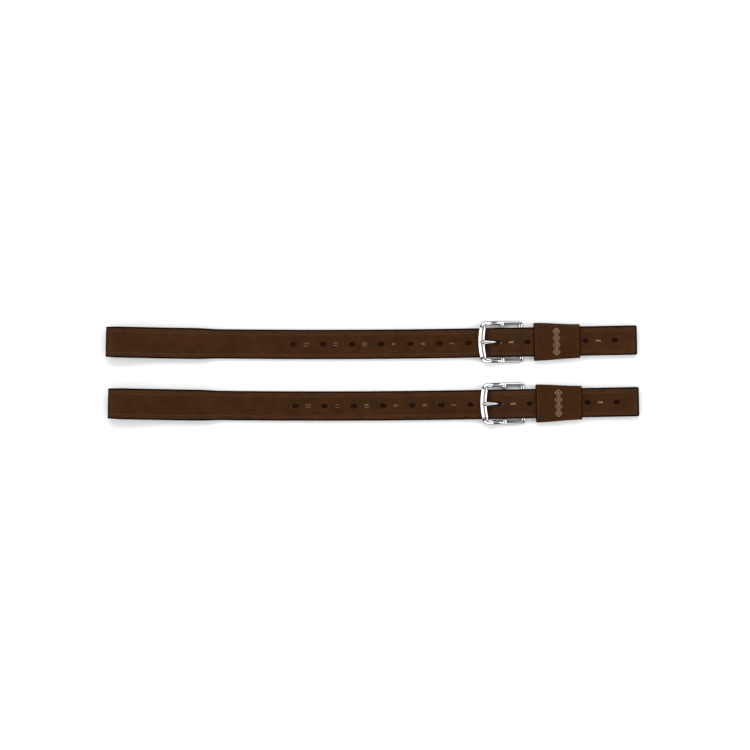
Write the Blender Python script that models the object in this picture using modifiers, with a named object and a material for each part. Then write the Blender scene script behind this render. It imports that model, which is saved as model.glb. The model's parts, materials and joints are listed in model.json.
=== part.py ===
"""A pair of short buckled stirrup leathers, laid out flat side by side.

Each strap is a laminate of a face leather, a webbing core and a lining, sewn round its edge,
and lies a little bowed.
It is folded back on itself at one end, as a loop for the saddle's stirrup bar. A free
centre-bar buckle sits on the strap with its tongue through a hole, and a loose sleeve
keeper holds the tail beyond it.

The long axis is X, with the loops at -X and the tails at +X. Z is up and the straps lie on
z = 0. The origin is under the middle of the pair. Each strap is modelled in its own space,
where x runs from the fold, y from the middle of the strap and z from the ground.
"""
import math

import bmesh
import bpy
from mathutils import Matrix, Vector

# ---- driving dimensions, in metres ----------------------------------------------------------

STRAP_LENGTH = 0.462
STRAP_WIDTH = 0.0256
PAIR_SPACING = 0.0536
PAIR_STAGGER = 0.0018
BOW_MIDDLE_X = 0.185
TAIL_SLOPE = 0.0185
BOW_TO_BUCKLE = 0.002
TIP_CORNER_RADIUS = 0.0015

FACE_THICKNESS = 0.0011
CORE_THICKNESS = 0.0007
LINING_THICKNESS = 0.0010
CORE_INSET = 0.0009
GAP = 0.0003

FOLD_BACK_LENGTH = 0.082
LOOP_HEIGHT = 0.0050
LOOP_ROUND_LENGTH = 0.014
LOOP_LENGTH = 0.052
FOLD_EXTRA_WIDTH = 0.0014
FOLD_STEP_LENGTH = 0.017
FOLD_END_MARGIN = 0.0015
STRAP_RISE_LENGTH = 0.011

HOLE_COUNT = 12
HOLE_PITCH = 0.0254
HOLE_LENGTH = 0.0056
HOLE_WIDTH = 0.0040
TIP_TO_FIRST_HOLE = 0.0194
BUCKLED_HOLE = 5

STITCH_INSET = 0.0037
THREAD_WIDTH = 0.0006
THREAD_HEIGHT = 0.0004
THREAD_DEPTH = 0.0004

BUCKLE_LENGTH = 0.0390
BUCKLE_CLEARANCE = 0.0010
BUCKLE_SIDE_SHIFT = 0.0005
FRONT_BAR_WIDTH = 0.0058
FRONT_BAR_BOW = 0.0012
ARM_WIDTH_FRONT = 0.0042
ARM_WIDTH_REAR = 0.0028
REAR_BAR_WIDTH = 0.0032
FRONT_CORNER_RADIUS = 0.0062
REAR_CORNER_RADIUS = 0.0034
FRAME_FLATNESS = 0.72
HINGE_TO_FRONT = 0.0211
STRAP_LIFT_AT_FRONT_BAR = 0.0006
REAR_BAR_GROUND_GAP = 0.0006

CENTRE_BAR_RADIUS = 0.0013
SPIGOT_RADIUS = 0.0008
SPIGOT_LENGTH = 0.0016
BOSS_WALL = 0.0008
BOSS_LENGTH = 0.0014

TONGUE_EYE_WALL = 0.0009
TONGUE_EYE_WIDTH = 0.0034
TONGUE_NECK_RADIUS = 0.00085
TONGUE_SHAFT_RADIUS = 0.00105
TONGUE_HEAD_RADIUS = 0.00165
TONGUE_HEAD_LENGTH = 0.0028
TONGUE_TIP_RADIUS = 0.00085
TONGUE_TO_HOLE_END = 0.0008
NOTCH_DEPTH = 0.0009
HOLE_TO_HINGE = 0.0040

KEEPER_LENGTH = 0.0400
KEEPER_WALL = 0.0014
KEEPER_CLEARANCE_WIDE = 0.0023
KEEPER_CLEARANCE_NARROW = 0.00055
KEEPER_PLAY = 0.0003
KEEPER_EDGE_RADIUS = 0.0024
BUCKLE_TO_KEEPER = 0.0094
KEEPER_TRAVEL_BACK = 0.0020

# ---- values that follow from them -----------------------------------------------------------

STRAP_THICKNESS = FACE_THICKNESS + CORE_THICKNESS + LINING_THICKNESS + 2 * GAP
FOLD_RADIUS = (LOOP_HEIGHT + STRAP_THICKNESS) / 2
FOLD_CENTRE = FOLD_RADIUS + STRAP_THICKNESS / 2
LONG_RUN = STRAP_LENGTH - FOLD_CENTRE
FOLD_RUN = math.pi * FOLD_RADIUS
CUT_LENGTH = LONG_RUN + FOLD_RUN + FOLD_BACK_LENGTH - FOLD_CENTRE

BUCKLE_WIDTH = STRAP_WIDTH + 2 * (BUCKLE_CLEARANCE + ARM_WIDTH_FRONT)
FIRST_HOLE_X = STRAP_LENGTH - TIP_TO_FIRST_HOLE
BUCKLED_HOLE_X = FIRST_HOLE_X - (BUCKLED_HOLE - 1) * HOLE_PITCH
HINGE_X = BUCKLED_HOLE_X + HOLE_TO_HINGE
BUCKLE_FRONT_X = HINGE_X - HINGE_TO_FRONT
BUCKLE_REAR_X = BUCKLE_FRONT_X + BUCKLE_LENGTH
FRONT_BAR_X = BUCKLE_FRONT_X + FRONT_BAR_WIDTH / 2
REAR_BAR_X = BUCKLE_REAR_X - REAR_BAR_WIDTH / 2

BOW_END_X = BUCKLE_FRONT_X - BOW_TO_BUCKLE

EYE_BORE_RADIUS = CENTRE_BAR_RADIUS + GAP
EYE_RADIUS = EYE_BORE_RADIUS + TONGUE_EYE_WALL
HINGE_Z = EYE_RADIUS + GAP
FRONT_BAR_HALF_HEIGHT = FRAME_FLATNESS * FRONT_BAR_WIDTH / 2
FRONT_BAR_Z = STRAP_LIFT_AT_FRONT_BAR + STRAP_THICKNESS + GAP + FRONT_BAR_HALF_HEIGHT
FRONT_BAR_TOP = FRONT_BAR_Z + FRONT_BAR_HALF_HEIGHT
REAR_BAR_HALF_HEIGHT = FRAME_FLATNESS * REAR_BAR_WIDTH / 2
REAR_BAR_Z = REAR_BAR_GROUND_GAP + REAR_BAR_HALF_HEIGHT

STRAP_OVER_HINGE = HINGE_Z + EYE_RADIUS + GAP
STRAP_OVER_REAR_BAR = REAR_BAR_Z + REAR_BAR_HALF_HEIGHT + GAP
TAIL_LIFT = KEEPER_WALL + KEEPER_PLAY
SEAM_LIFT = STRAP_THICKNESS + GAP
LOOP_LIFT = 2 * FOLD_RADIUS

KEEPER_START_X = BUCKLE_REAR_X + BUCKLE_TO_KEEPER
KEEPER_HEIGHT = STRAP_THICKNESS + 2 * (KEEPER_PLAY + KEEPER_WALL)
KEEPER_WIDTH_WIDE = STRAP_WIDTH + 2 * (KEEPER_CLEARANCE_WIDE + KEEPER_WALL)
KEEPER_WIDTH_NARROW = STRAP_WIDTH + 2 * (KEEPER_CLEARANCE_NARROW + KEEPER_WALL)

# The strap's underside, from the fold to the tip: a place, its height, and the number of facets
# on the way there from the place before. The height eases over from each place to the next.
STRAP_HEIGHTS = (
    (FOLD_CENTRE, LOOP_LIFT, 1),
    (LOOP_ROUND_LENGTH, LOOP_LIFT, 1),
    (LOOP_LENGTH, SEAM_LIFT, 6),
    (FOLD_BACK_LENGTH + FOLD_END_MARGIN, SEAM_LIFT, 1),
    (FOLD_BACK_LENGTH + FOLD_END_MARGIN + FOLD_STEP_LENGTH, 0.0, 5),
    (BUCKLE_FRONT_X - STRAP_RISE_LENGTH, 0.0, 8),
    (BUCKLE_FRONT_X, STRAP_LIFT_AT_FRONT_BAR, 2),
    (FRONT_BAR_X + FRONT_BAR_WIDTH / 2, STRAP_LIFT_AT_FRONT_BAR, 1),
    (HINGE_X - CENTRE_BAR_RADIUS, STRAP_OVER_HINGE, 6),
    (HINGE_X + EYE_RADIUS, STRAP_OVER_HINGE, 1),
    (REAR_BAR_X - REAR_BAR_WIDTH / 3, STRAP_OVER_REAR_BAR, 4),
    (REAR_BAR_X + REAR_BAR_WIDTH / 3, STRAP_OVER_REAR_BAR, 1),
    (KEEPER_START_X - KEEPER_TRAVEL_BACK, TAIL_LIFT, 4),
    (STRAP_LENGTH, TAIL_LIFT, 1),
)
FOLD_FACETS = 8

COLOURS = {
    "face_leather": ((0.050, 0.020, 0.010), 0.45, 0.0),
    "lining_leather": ((0.075, 0.034, 0.017), 0.60, 0.0),
    "core_webbing": ((0.10, 0.09, 0.08), 0.80, 0.0),
    "thread": ((0.090, 0.042, 0.026), 0.70, 0.0),
    "keeper_leather": ((0.055, 0.022, 0.009), 0.42, 0.0),
    "polished_steel": ((0.82, 0.82, 0.83), 0.12, 1.0),
}


# ---- scene and object helpers ---------------------------------------------------------------

def clear_scene():
    """Remove every object of the open scene."""
    for found in list(bpy.data.objects):
        bpy.data.objects.remove(found, do_unlink=True)


def new_collection(name):
    group = bpy.data.collections.new(name)
    bpy.context.scene.collection.children.link(group)
    return group


def make_material(name):
    """A Principled material from the table of colours."""
    colour, roughness, metallic = COLOURS[name]
    material = bpy.data.materials.new(name)
    material.use_nodes = True
    shader = material.node_tree.nodes["Principled BSDF"]
    shader.inputs["Base Color"].default_value = (*colour, 1.0)
    shader.inputs["Roughness"].default_value = roughness
    shader.inputs["Metallic"].default_value = metallic
    material.diffuse_color = (*colour, 1.0)
    return material


def link_mesh(name, mesh, group, material=None, parent=None):
    """Link a mesh to a collection as a new object, with its material and parent."""
    made = bpy.data.objects.new(name, mesh)
    group.objects.link(made)
    if material is not None:
        mesh.materials.clear()
        mesh.materials.append(material)
    made.parent = parent
    return made


def mesh_from_bmesh(name, shape):
    """Write a bmesh to a new mesh, with its faces pointing out."""
    bmesh.ops.recalc_face_normals(shape, faces=shape.faces)
    mesh = bpy.data.meshes.new(name)
    shape.to_mesh(mesh)
    shape.free()
    return mesh


def evaluated_mesh(source):
    """The mesh of an object with its modifiers applied."""
    graph = bpy.context.evaluated_depsgraph_get()
    graph.update()
    return bpy.data.meshes.new_from_object(source.evaluated_get(graph))


def add_cutter(name, mesh, parent=None):
    """An object that only cuts others: drawn as wire, and never rendered."""
    cutter = link_mesh(name, mesh, cutters, parent=parent)
    cutter.hide_render = True
    cutter.display_type = "WIRE"
    return cutter


def add_boolean(target, tool, operation):
    """Cut or join one object with another, with the exact solver."""
    change = target.modifiers.new(tool.name, "BOOLEAN")
    change.object = tool
    change.operation = operation
    change.solver = "EXACT"


def shade_round(target, angle=40.0):
    target.data.shade_smooth()
    target.data.set_sharp_from_angle(angle=math.radians(angle))


def box_bmesh(low, high):
    """A box between two corners."""
    shape = bmesh.new()
    bmesh.ops.create_cube(shape, size=1.0)
    low, high = Vector(low), Vector(high)
    bmesh.ops.scale(shape, vec=high - low, verts=shape.verts)
    bmesh.ops.translate(shape, vec=(low + high) / 2, verts=shape.verts)
    return shape


def slice_along_x(shape, places):
    """Add a ring of edges across the shape at each place along X."""
    for place in places:
        everything = shape.verts[:] + shape.edges[:] + shape.faces[:]
        bmesh.ops.bisect_plane(shape, geom=everything, plane_co=(place, 0, 0), plane_no=(1, 0, 0))


# ---- the strap's course ---------------------------------------------------------------------

def ease(value, start, end):
    """Go smoothly from 0 at start to 1 at end."""
    share = min(max((value - start) / (end - start), 0.0), 1.0)
    return share * share * (3 - 2 * share)


def strap_height(x):
    """Height of the long run's underside above the ground."""
    for (x0, z0, _), (x1, z1, _) in zip(STRAP_HEIGHTS, STRAP_HEIGHTS[1:]):
        if x <= x1:
            return z0 + (z1 - z0) * ease(x, x0, x1)
    return STRAP_HEIGHTS[-1][1]


def strap_tilt(x):
    """Slope angle of the long run at x."""
    step = 0.0002
    return math.atan2(strap_height(x + step) - strap_height(x - step), 2 * step)


def strap_point(along, out):
    """Place a point of the flat strap on its course: (x, z) in strap space.

    along is the distance from the tail's tip, and out the height above the middle of the
    thickness, towards the face leather.
    """
    if along <= LONG_RUN:
        x = STRAP_LENGTH - along
        tilt = strap_tilt(x)
        middle = strap_height(x) + STRAP_THICKNESS / 2
        return x - out * math.sin(tilt), middle + out * math.cos(tilt)
    fold_z = STRAP_THICKNESS / 2 + FOLD_RADIUS
    if along <= LONG_RUN + FOLD_RUN:
        turn = math.pi / 2 + (along - LONG_RUN) / FOLD_RADIUS
        reach = FOLD_RADIUS + out
        return FOLD_CENTRE + reach * math.cos(turn), fold_z + reach * math.sin(turn)
    return FOLD_CENTRE + along - LONG_RUN - FOLD_RUN, STRAP_THICKNESS / 2 - out


def bow_line(x):
    """Sideways place and slope of the strap's middle line: bowed up to the buckle, then straight."""
    curved = min(x, BOW_END_X)
    slope = TAIL_SLOPE * (curved - BOW_MIDDLE_X) / (BOW_END_X - BOW_MIDDLE_X)
    offset = slope * (curved - BOW_MIDDLE_X) / 2 + TAIL_SLOPE * (x - curved)
    at_hinge = TAIL_SLOPE * ((BOW_END_X - BOW_MIDDLE_X) / 2 + HINGE_X - BOW_END_X)
    return offset - at_hinge, slope


def plan_point(x, y):
    """Move a point of the straight strap sideways on to its slightly bowed line."""
    offset, slope = bow_line(x)
    turn = math.atan(slope)
    if x > BOW_END_X:
        x = BOW_END_X + (x - BOW_END_X) * math.cos(turn)
        offset = bow_line(x)[0]
    return x - y * math.sin(turn), offset + y * math.cos(turn)


def width_share(x):
    """How much wider the strap is at x than along its plain run."""
    flare = ease(x, -0.010, LOOP_ROUND_LENGTH)
    flare *= 1 - ease(x, FOLD_BACK_LENGTH - 0.004, FOLD_BACK_LENGTH + FOLD_STEP_LENGTH)
    return 1 + FOLD_EXTRA_WIDTH / STRAP_WIDTH * flare


def strap_stations():
    """Distances from the tip at which the flat strap is sliced so that it can bend."""
    places = []
    for (x0, _, _), (x1, _, facets) in zip(STRAP_HEIGHTS, STRAP_HEIGHTS[1:]):
        places += [STRAP_LENGTH - (x0 + (x1 - x0) * step / facets) for step in range(facets)]
    places += [LONG_RUN + FOLD_RUN * step / FOLD_FACETS for step in range(1, FOLD_FACETS + 1)]
    return sorted(set(places))


def bend(mesh):
    """Slice a flat strap piece across, and move its points on to the strap's course."""
    shape = bmesh.new()
    shape.from_mesh(mesh)
    slice_along_x(shape, strap_stations())
    for vertex in shape.verts:
        x, z = strap_point(vertex.co.x, vertex.co.z)
        vertex.co = (*plan_point(x, vertex.co.y * width_share(x)), z)
    bmesh.ops.recalc_face_normals(shape, faces=shape.faces)
    shape.to_mesh(mesh)
    shape.free()
    mesh.update()


# ---- the strap's layers and threads ---------------------------------------------------------

def hole_places():
    """Distances of the hole centres from the tip, the first hole nearest to it."""
    return [TIP_TO_FIRST_HOLE + number * HOLE_PITCH for number in range(HOLE_COUNT)]


def hole_cutters():
    """Oval punches through the flat strap, all in one mesh."""
    shape = bmesh.new()
    for place in hole_places():
        made = bmesh.ops.create_cone(shape, cap_ends=True, segments=12, radius1=0.5, radius2=0.5,
                                     depth=4 * STRAP_THICKNESS)
        bmesh.ops.scale(shape, vec=(HOLE_LENGTH, HOLE_WIDTH, 1), verts=made["verts"])
        bmesh.ops.translate(shape, vec=(place, 0, 0), verts=made["verts"])
    return add_cutter("hole_punches", mesh_from_bmesh("hole_punches", shape))


def seam_ring(name, start, end, low, high, half_width):
    """A flat rectangular ring of thread, or of groove, that follows the strap's edges."""
    middle = STRAP_WIDTH / 2 - STITCH_INSET
    outer = box_bmesh((start - half_width, -middle - half_width, low),
                      (end + half_width, middle + half_width, high))
    inner = box_bmesh((start + half_width, -middle + half_width, low - STRAP_THICKNESS),
                      (end - half_width, middle - half_width, high + STRAP_THICKNESS))
    ring = add_cutter(name, mesh_from_bmesh(name, outer))
    window = add_cutter(name + "_window", mesh_from_bmesh(name + "_window", inner))
    add_boolean(ring, window, "DIFFERENCE")
    mesh = evaluated_mesh(ring)
    bpy.data.objects.remove(ring)
    bpy.data.objects.remove(window)
    return mesh


def seam_reach(on_face):
    """Where a seam starts and ends, as distances from the tip."""
    if on_face:
        return STITCH_INSET, CUT_LENGTH - STITCH_INSET
    return STITCH_INSET, STRAP_LENGTH - FOLD_BACK_LENGTH - FOLD_STEP_LENGTH - 2 * STITCH_INSET


def seam_levels(on_face):
    """The bottom and top of a sunk thread, above the strap's middle."""
    outside = STRAP_THICKNESS / 2
    if on_face:
        return outside - THREAD_DEPTH - THREAD_HEIGHT / 2, outside - THREAD_DEPTH + THREAD_HEIGHT / 2
    return -outside + THREAD_DEPTH - THREAD_HEIGHT / 2, -outside + THREAD_DEPTH + THREAD_HEIGHT / 2


def seam_groove(on_face):
    """The cutter for the groove that a seam's thread lies in."""
    start, end = seam_reach(on_face)
    low, high = seam_levels(on_face)
    if on_face:
        low, high = low - GAP, STRAP_THICKNESS
    else:
        low, high = -STRAP_THICKNESS, high + GAP
    name = "face_groove" if on_face else "lining_groove"
    mesh = seam_ring(name, start, end, low, high, THREAD_WIDTH / 2 + GAP)
    return add_cutter(name, mesh)


def seam_mesh(on_face):
    """The thread of one seam, bent along the strap."""
    start, end = seam_reach(on_face)
    low, high = seam_levels(on_face)
    name = "face_thread" if on_face else "lining_thread"
    mesh = seam_ring(name, start, end, low, high, THREAD_WIDTH / 2)
    bend(mesh)
    return mesh


def layer_mesh(name, low, high, inset, tools):
    """One layer of the strap: sliced, its tip rounded, punched, grooved and bent."""
    half = STRAP_WIDTH / 2 - inset
    shape = box_bmesh((inset, -half, low), (CUT_LENGTH - inset, half, high))
    corners = [edge for edge in shape.edges
               if all(abs(vertex.co.x - inset) < 1e-6 for vertex in edge.verts)
               and abs(edge.verts[0].co.z - edge.verts[1].co.z) > 1e-6]
    bmesh.ops.bevel(shape, geom=corners, offset=TIP_CORNER_RADIUS, segments=3, profile=0.5,
                    affect="EDGES")
    flat = add_cutter(name + "_flat", mesh_from_bmesh(name, shape))
    for tool in tools:
        add_boolean(flat, tool, "DIFFERENCE")
    mesh = evaluated_mesh(flat)
    bpy.data.objects.remove(flat)
    bend(mesh)
    return mesh


def strap_meshes():
    """The meshes of the three layers and two threads of one strap, by node name."""
    punches = hole_cutters()
    face_groove = seam_groove(True)
    lining_groove = seam_groove(False)
    top = STRAP_THICKNESS / 2
    face_low = top - FACE_THICKNESS
    core_high = face_low - GAP
    lining_high = -top + LINING_THICKNESS
    return {
        "face_leather": layer_mesh("face_leather", face_low, top, 0.0, (punches, face_groove)),
        "core_webbing": layer_mesh("core_webbing", core_high - CORE_THICKNESS, core_high,
                                   CORE_INSET, (punches,)),
        "lining_leather": layer_mesh("lining_leather", -top, lining_high, 0.0,
                                     (punches, lining_groove)),
        "edge_stitching": seam_mesh(True),
        "underside_stitching": seam_mesh(False),
    }


# ---- the buckle -----------------------------------------------------------------------------

def arm_width(x):
    """Plan width of the frame's side arms."""
    return ARM_WIDTH_FRONT + (ARM_WIDTH_REAR - ARM_WIDTH_FRONT) * ease(
        x, BUCKLE_FRONT_X + FRONT_CORNER_RADIUS, HINGE_X)


def frame_height(x):
    """Height of the frame's centreline: high at the front bar, low behind the hinge."""
    to_hinge = ease(x, BUCKLE_FRONT_X + FRONT_BAR_BOW + FRONT_CORNER_RADIUS, HINGE_X)
    to_rear = ease(x, HINGE_X, REAR_BAR_X)
    return FRONT_BAR_Z + (HINGE_Z - FRONT_BAR_Z) * to_hinge + (REAR_BAR_Z - HINGE_Z) * to_rear


def corner_points(centre, outer_radius, start, end, width_start, width_end, steps=5):
    """Centreline points and widths round one corner of the frame."""
    points = []
    for step in range(steps + 1):
        share = step / steps
        turn = math.radians(start + (end - start) * share)
        width = width_start + (width_end - width_start) * share
        reach = outer_radius - width / 2
        points.append((centre[0] + reach * math.cos(turn), centre[1] + reach * math.sin(turn), width))
    return points


def frame_course():
    """Centreline of half the frame, from the middle of the front bar to that of the rear bar."""
    half = BUCKLE_WIDTH / 2
    corner_y = half - FRONT_CORNER_RADIUS
    points = []
    for step in range(4):
        y = corner_y * step / 4
        points.append((FRONT_BAR_X + FRONT_BAR_BOW * (y / corner_y) ** 2, y, FRONT_BAR_WIDTH))
    front = (BUCKLE_FRONT_X + FRONT_BAR_BOW + FRONT_CORNER_RADIUS, corner_y)
    points += corner_points(front, FRONT_CORNER_RADIUS, 180, 90, FRONT_BAR_WIDTH, ARM_WIDTH_FRONT)
    arm_end = BUCKLE_REAR_X - REAR_CORNER_RADIUS
    for step in range(1, 6):
        x = front[0] + (arm_end - front[0]) * step / 6
        points.append((x, half - arm_width(x) / 2, arm_width(x)))
    rear = (arm_end, half - REAR_CORNER_RADIUS)
    points += corner_points(rear, REAR_CORNER_RADIUS, 90, 0, ARM_WIDTH_REAR, REAR_BAR_WIDTH, 4)
    points += [(REAR_BAR_X, rear[1] / 2, REAR_BAR_WIDTH), (REAR_BAR_X, 0.0, REAR_BAR_WIDTH)]
    return points


def frame_ring():
    """The frame's closed ring: a flattened round bar whose width changes along it."""
    half = frame_course()
    mirrored = [(x, -y, width) for x, y, width in reversed(half[1:-1])]
    points = half + mirrored
    curve = bpy.data.curves.new("frame_ring", "CURVE")
    curve.dimensions = "3D"
    curve.twist_mode = "Z_UP"
    curve.bevel_depth = 1.0
    curve.bevel_resolution = 2
    spline = curve.splines.new("POLY")
    spline.points.add(len(points) - 1)
    for target, (x, y, width) in zip(spline.points, points):
        target.co = (x, y, frame_height(x) / FRAME_FLATNESS, 1)
        target.radius = width / 2
    spline.use_cyclic_u = True
    ring = bpy.data.objects.new("frame_ring", curve)
    cutters.objects.link(ring)
    mesh = evaluated_mesh(ring)
    bpy.data.objects.remove(ring)
    mesh.transform(Matrix.Diagonal((1, 1, FRAME_FLATNESS, 1)))
    return mesh


def bar_along_y(name, x, z, radius, low, high, segments=14):
    """A round bar along Y between two places."""
    shape = bmesh.new()
    turn = Matrix.Rotation(math.radians(90), 4, "X")
    move = Matrix.Translation((x, (low + high) / 2, z))
    bmesh.ops.create_cone(shape, cap_ends=True, segments=segments, radius1=radius, radius2=radius,
                          depth=high - low, matrix=move @ turn)
    return mesh_from_bmesh(name, shape)


def boss_inner_y():
    """Half the free width between the two bosses that hold the centre bar."""
    return BUCKLE_WIDTH / 2 - arm_width(HINGE_X) - BOSS_LENGTH


def build_buckle_frame(side, rig):
    frame = link_mesh(side + "_buckle_frame", frame_ring(), parts, materials["polished_steel"], rig)
    inner = boss_inner_y()
    outer = BUCKLE_WIDTH / 2 - arm_width(HINGE_X) / 3
    boss_radius = SPIGOT_RADIUS + GAP + BOSS_WALL
    for sign, hand in ((1, "a"), (-1, "b")):
        low, high = sorted((sign * inner, sign * outer))
        boss = add_cutter(side + "_boss_" + hand,
                          bar_along_y("boss", HINGE_X, HINGE_Z, boss_radius, low, high), rig)
        add_boolean(frame, boss, "UNION")
        deep = inner + SPIGOT_LENGTH + GAP
        low, high = sorted((sign * (inner - BOSS_LENGTH), sign * deep))
        bore = add_cutter(side + "_bore_" + hand,
                          bar_along_y("bore", HINGE_X, HINGE_Z, SPIGOT_RADIUS + GAP, low, high), rig)
        add_boolean(frame, bore, "DIFFERENCE")
    notch = bmesh.new()
    notch_radius = TONGUE_TIP_RADIUS + GAP
    along_x = Matrix.Rotation(math.radians(90), 4, "Y")
    place = Matrix.Translation((FRONT_BAR_X, 0, FRONT_BAR_TOP - NOTCH_DEPTH + notch_radius))
    bmesh.ops.create_cone(notch, cap_ends=True, segments=12, radius1=notch_radius,
                          radius2=notch_radius, depth=2 * FRONT_BAR_WIDTH, matrix=place @ along_x)
    groove = add_cutter(side + "_tongue_notch", mesh_from_bmesh("tongue_notch", notch), rig)
    add_boolean(frame, groove, "DIFFERENCE")
    shade_round(frame)
    return frame


def build_centre_bar(side, rig):
    """A turned bar with a thinner spigot at each end, seated in the frame's bosses."""
    shoulder = boss_inner_y() - GAP
    end = boss_inner_y() + SPIGOT_LENGTH
    profile = ((0.0, end), (SPIGOT_RADIUS, end), (SPIGOT_RADIUS, shoulder), (CENTRE_BAR_RADIUS, shoulder),
               (CENTRE_BAR_RADIUS, -shoulder), (SPIGOT_RADIUS, -shoulder), (SPIGOT_RADIUS, -end),
               (0.0, -end))
    shape = bmesh.new()
    ring = [shape.verts.new((radius, 0, height)) for radius, height in profile]
    for first, second in zip(ring, ring[1:]):
        shape.edges.new((first, second))
    mesh = bpy.data.meshes.new("centre_bar")
    shape.to_mesh(mesh)
    shape.free()
    bar = link_mesh(side + "_centre_bar", mesh, parts, materials["polished_steel"], rig)
    bar.location = (HINGE_X, 0, HINGE_Z)
    bar.rotation_euler = (math.radians(-90), 0, 0)
    turn = bar.modifiers.new("turn", "SCREW")
    turn.axis = "Z"
    turn.steps = 14
    turn.render_steps = 14
    turn.use_merge_vertices = True
    turn.merge_threshold = 0.00001
    return bar


def over_strap(x, z, radius):
    """A point of the tongue above the strap: raised to lie clear of the face leather if need be."""
    face = strap_height(HINGE_X + x) + STRAP_THICKNESS - HINGE_Z
    return x, max(z, face + GAP + radius), radius


def tongue_course():
    """Centreline of the tongue from its eye to its tip, about the hinge: x, z and radius."""
    punched = STRAP_LENGTH - BUCKLED_HOLE_X
    low_x, low_z = strap_point(punched, -STRAP_THICKNESS / 2)
    high_x, high_z = strap_point(punched, STRAP_THICKNESS / 2)
    neck = TONGUE_NECK_RADIUS
    shaft = TONGUE_SHAFT_RADIUS
    lean = HOLE_LENGTH / 2 - neck - TONGUE_TO_HOLE_END
    low_x, low_z = low_x - HINGE_X, low_z - HINGE_Z
    high_x, high_z = high_x - HINGE_X - lean, high_z - HINGE_Z
    rest = FRONT_BAR_TOP - NOTCH_DEPTH + GAP + TONGUE_TIP_RADIUS - HINGE_Z
    crest = rest + TONGUE_HEAD_RADIUS - TONGUE_TIP_RADIUS + GAP
    front = FRONT_BAR_X - HINGE_X
    inside = front + FRONT_BAR_WIDTH / 2
    return (
        (-0.75 * EYE_RADIUS, neck, neck),
        (low_x, low_z, neck),
        (high_x, high_z, neck),
        over_strap(high_x - 1.2 * shaft, high_z + 0.9 * shaft, shaft),
        over_strap(high_x - 3 * shaft, crest, shaft),
        (inside + TONGUE_HEAD_LENGTH, crest, shaft),
        (inside + 0.4 * TONGUE_HEAD_LENGTH, crest, TONGUE_HEAD_RADIUS),
        (inside - 0.2 * TONGUE_HEAD_LENGTH, crest, TONGUE_HEAD_RADIUS),
        (inside - 0.6 * TONGUE_HEAD_LENGTH, rest + GAP, 1.2 * TONGUE_TIP_RADIUS),
        (front - FRONT_BAR_WIDTH / 5, rest, TONGUE_TIP_RADIUS),
    )


def build_tongue(side, rig):
    """The tongue: an eye round the centre bar, and a tapering prong up to the front bar."""
    hinge = bpy.data.objects.new(side + "_tongue_hinge", None)
    hinge.location = (HINGE_X, 0, HINGE_Z)
    hinge.parent = rig
    parts.objects.link(hinge)

    curve = bpy.data.curves.new("prong", "CURVE")
    curve.dimensions = "3D"
    curve.bevel_depth = 1.0
    curve.bevel_resolution = 2
    curve.use_fill_caps = True
    spline = curve.splines.new("POLY")
    course = tongue_course()
    spline.points.add(len(course) - 1)
    for target, (x, z, radius) in zip(spline.points, course):
        target.co = (x, 0, z, 1)
        target.radius = radius
    prong = bpy.data.objects.new("prong", curve)
    cutters.objects.link(prong)
    mesh = evaluated_mesh(prong)
    bpy.data.objects.remove(prong)
    shape = bmesh.new()
    shape.from_mesh(mesh)
    bmesh.ops.remove_doubles(shape, verts=shape.verts, dist=0.00001)
    tongue = link_mesh(side + "_tongue", mesh_from_bmesh("tongue", shape), parts,
                       materials["polished_steel"], hinge)
    half = TONGUE_EYE_WIDTH / 2
    eye = add_cutter(side + "_tongue_eye", bar_along_y("eye", 0, 0, EYE_RADIUS, -half, half, 16), hinge)
    bore = add_cutter(side + "_tongue_bore",
                      bar_along_y("bore", 0, 0, EYE_BORE_RADIUS, -2 * half, 2 * half, 16), hinge)
    add_boolean(tongue, eye, "UNION")
    add_boolean(tongue, bore, "DIFFERENCE")
    shade_round(tongue)
    return tongue


# ---- the keeper -----------------------------------------------------------------------------

def keeper_half_width(x):
    """Half the keeper's outer width, at a distance from its wide end."""
    return (KEEPER_WIDTH_WIDE + (KEEPER_WIDTH_NARROW - KEEPER_WIDTH_WIDE)
            * math.sin(math.pi / 2 * x / KEEPER_LENGTH) ** 2) / 2


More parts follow.
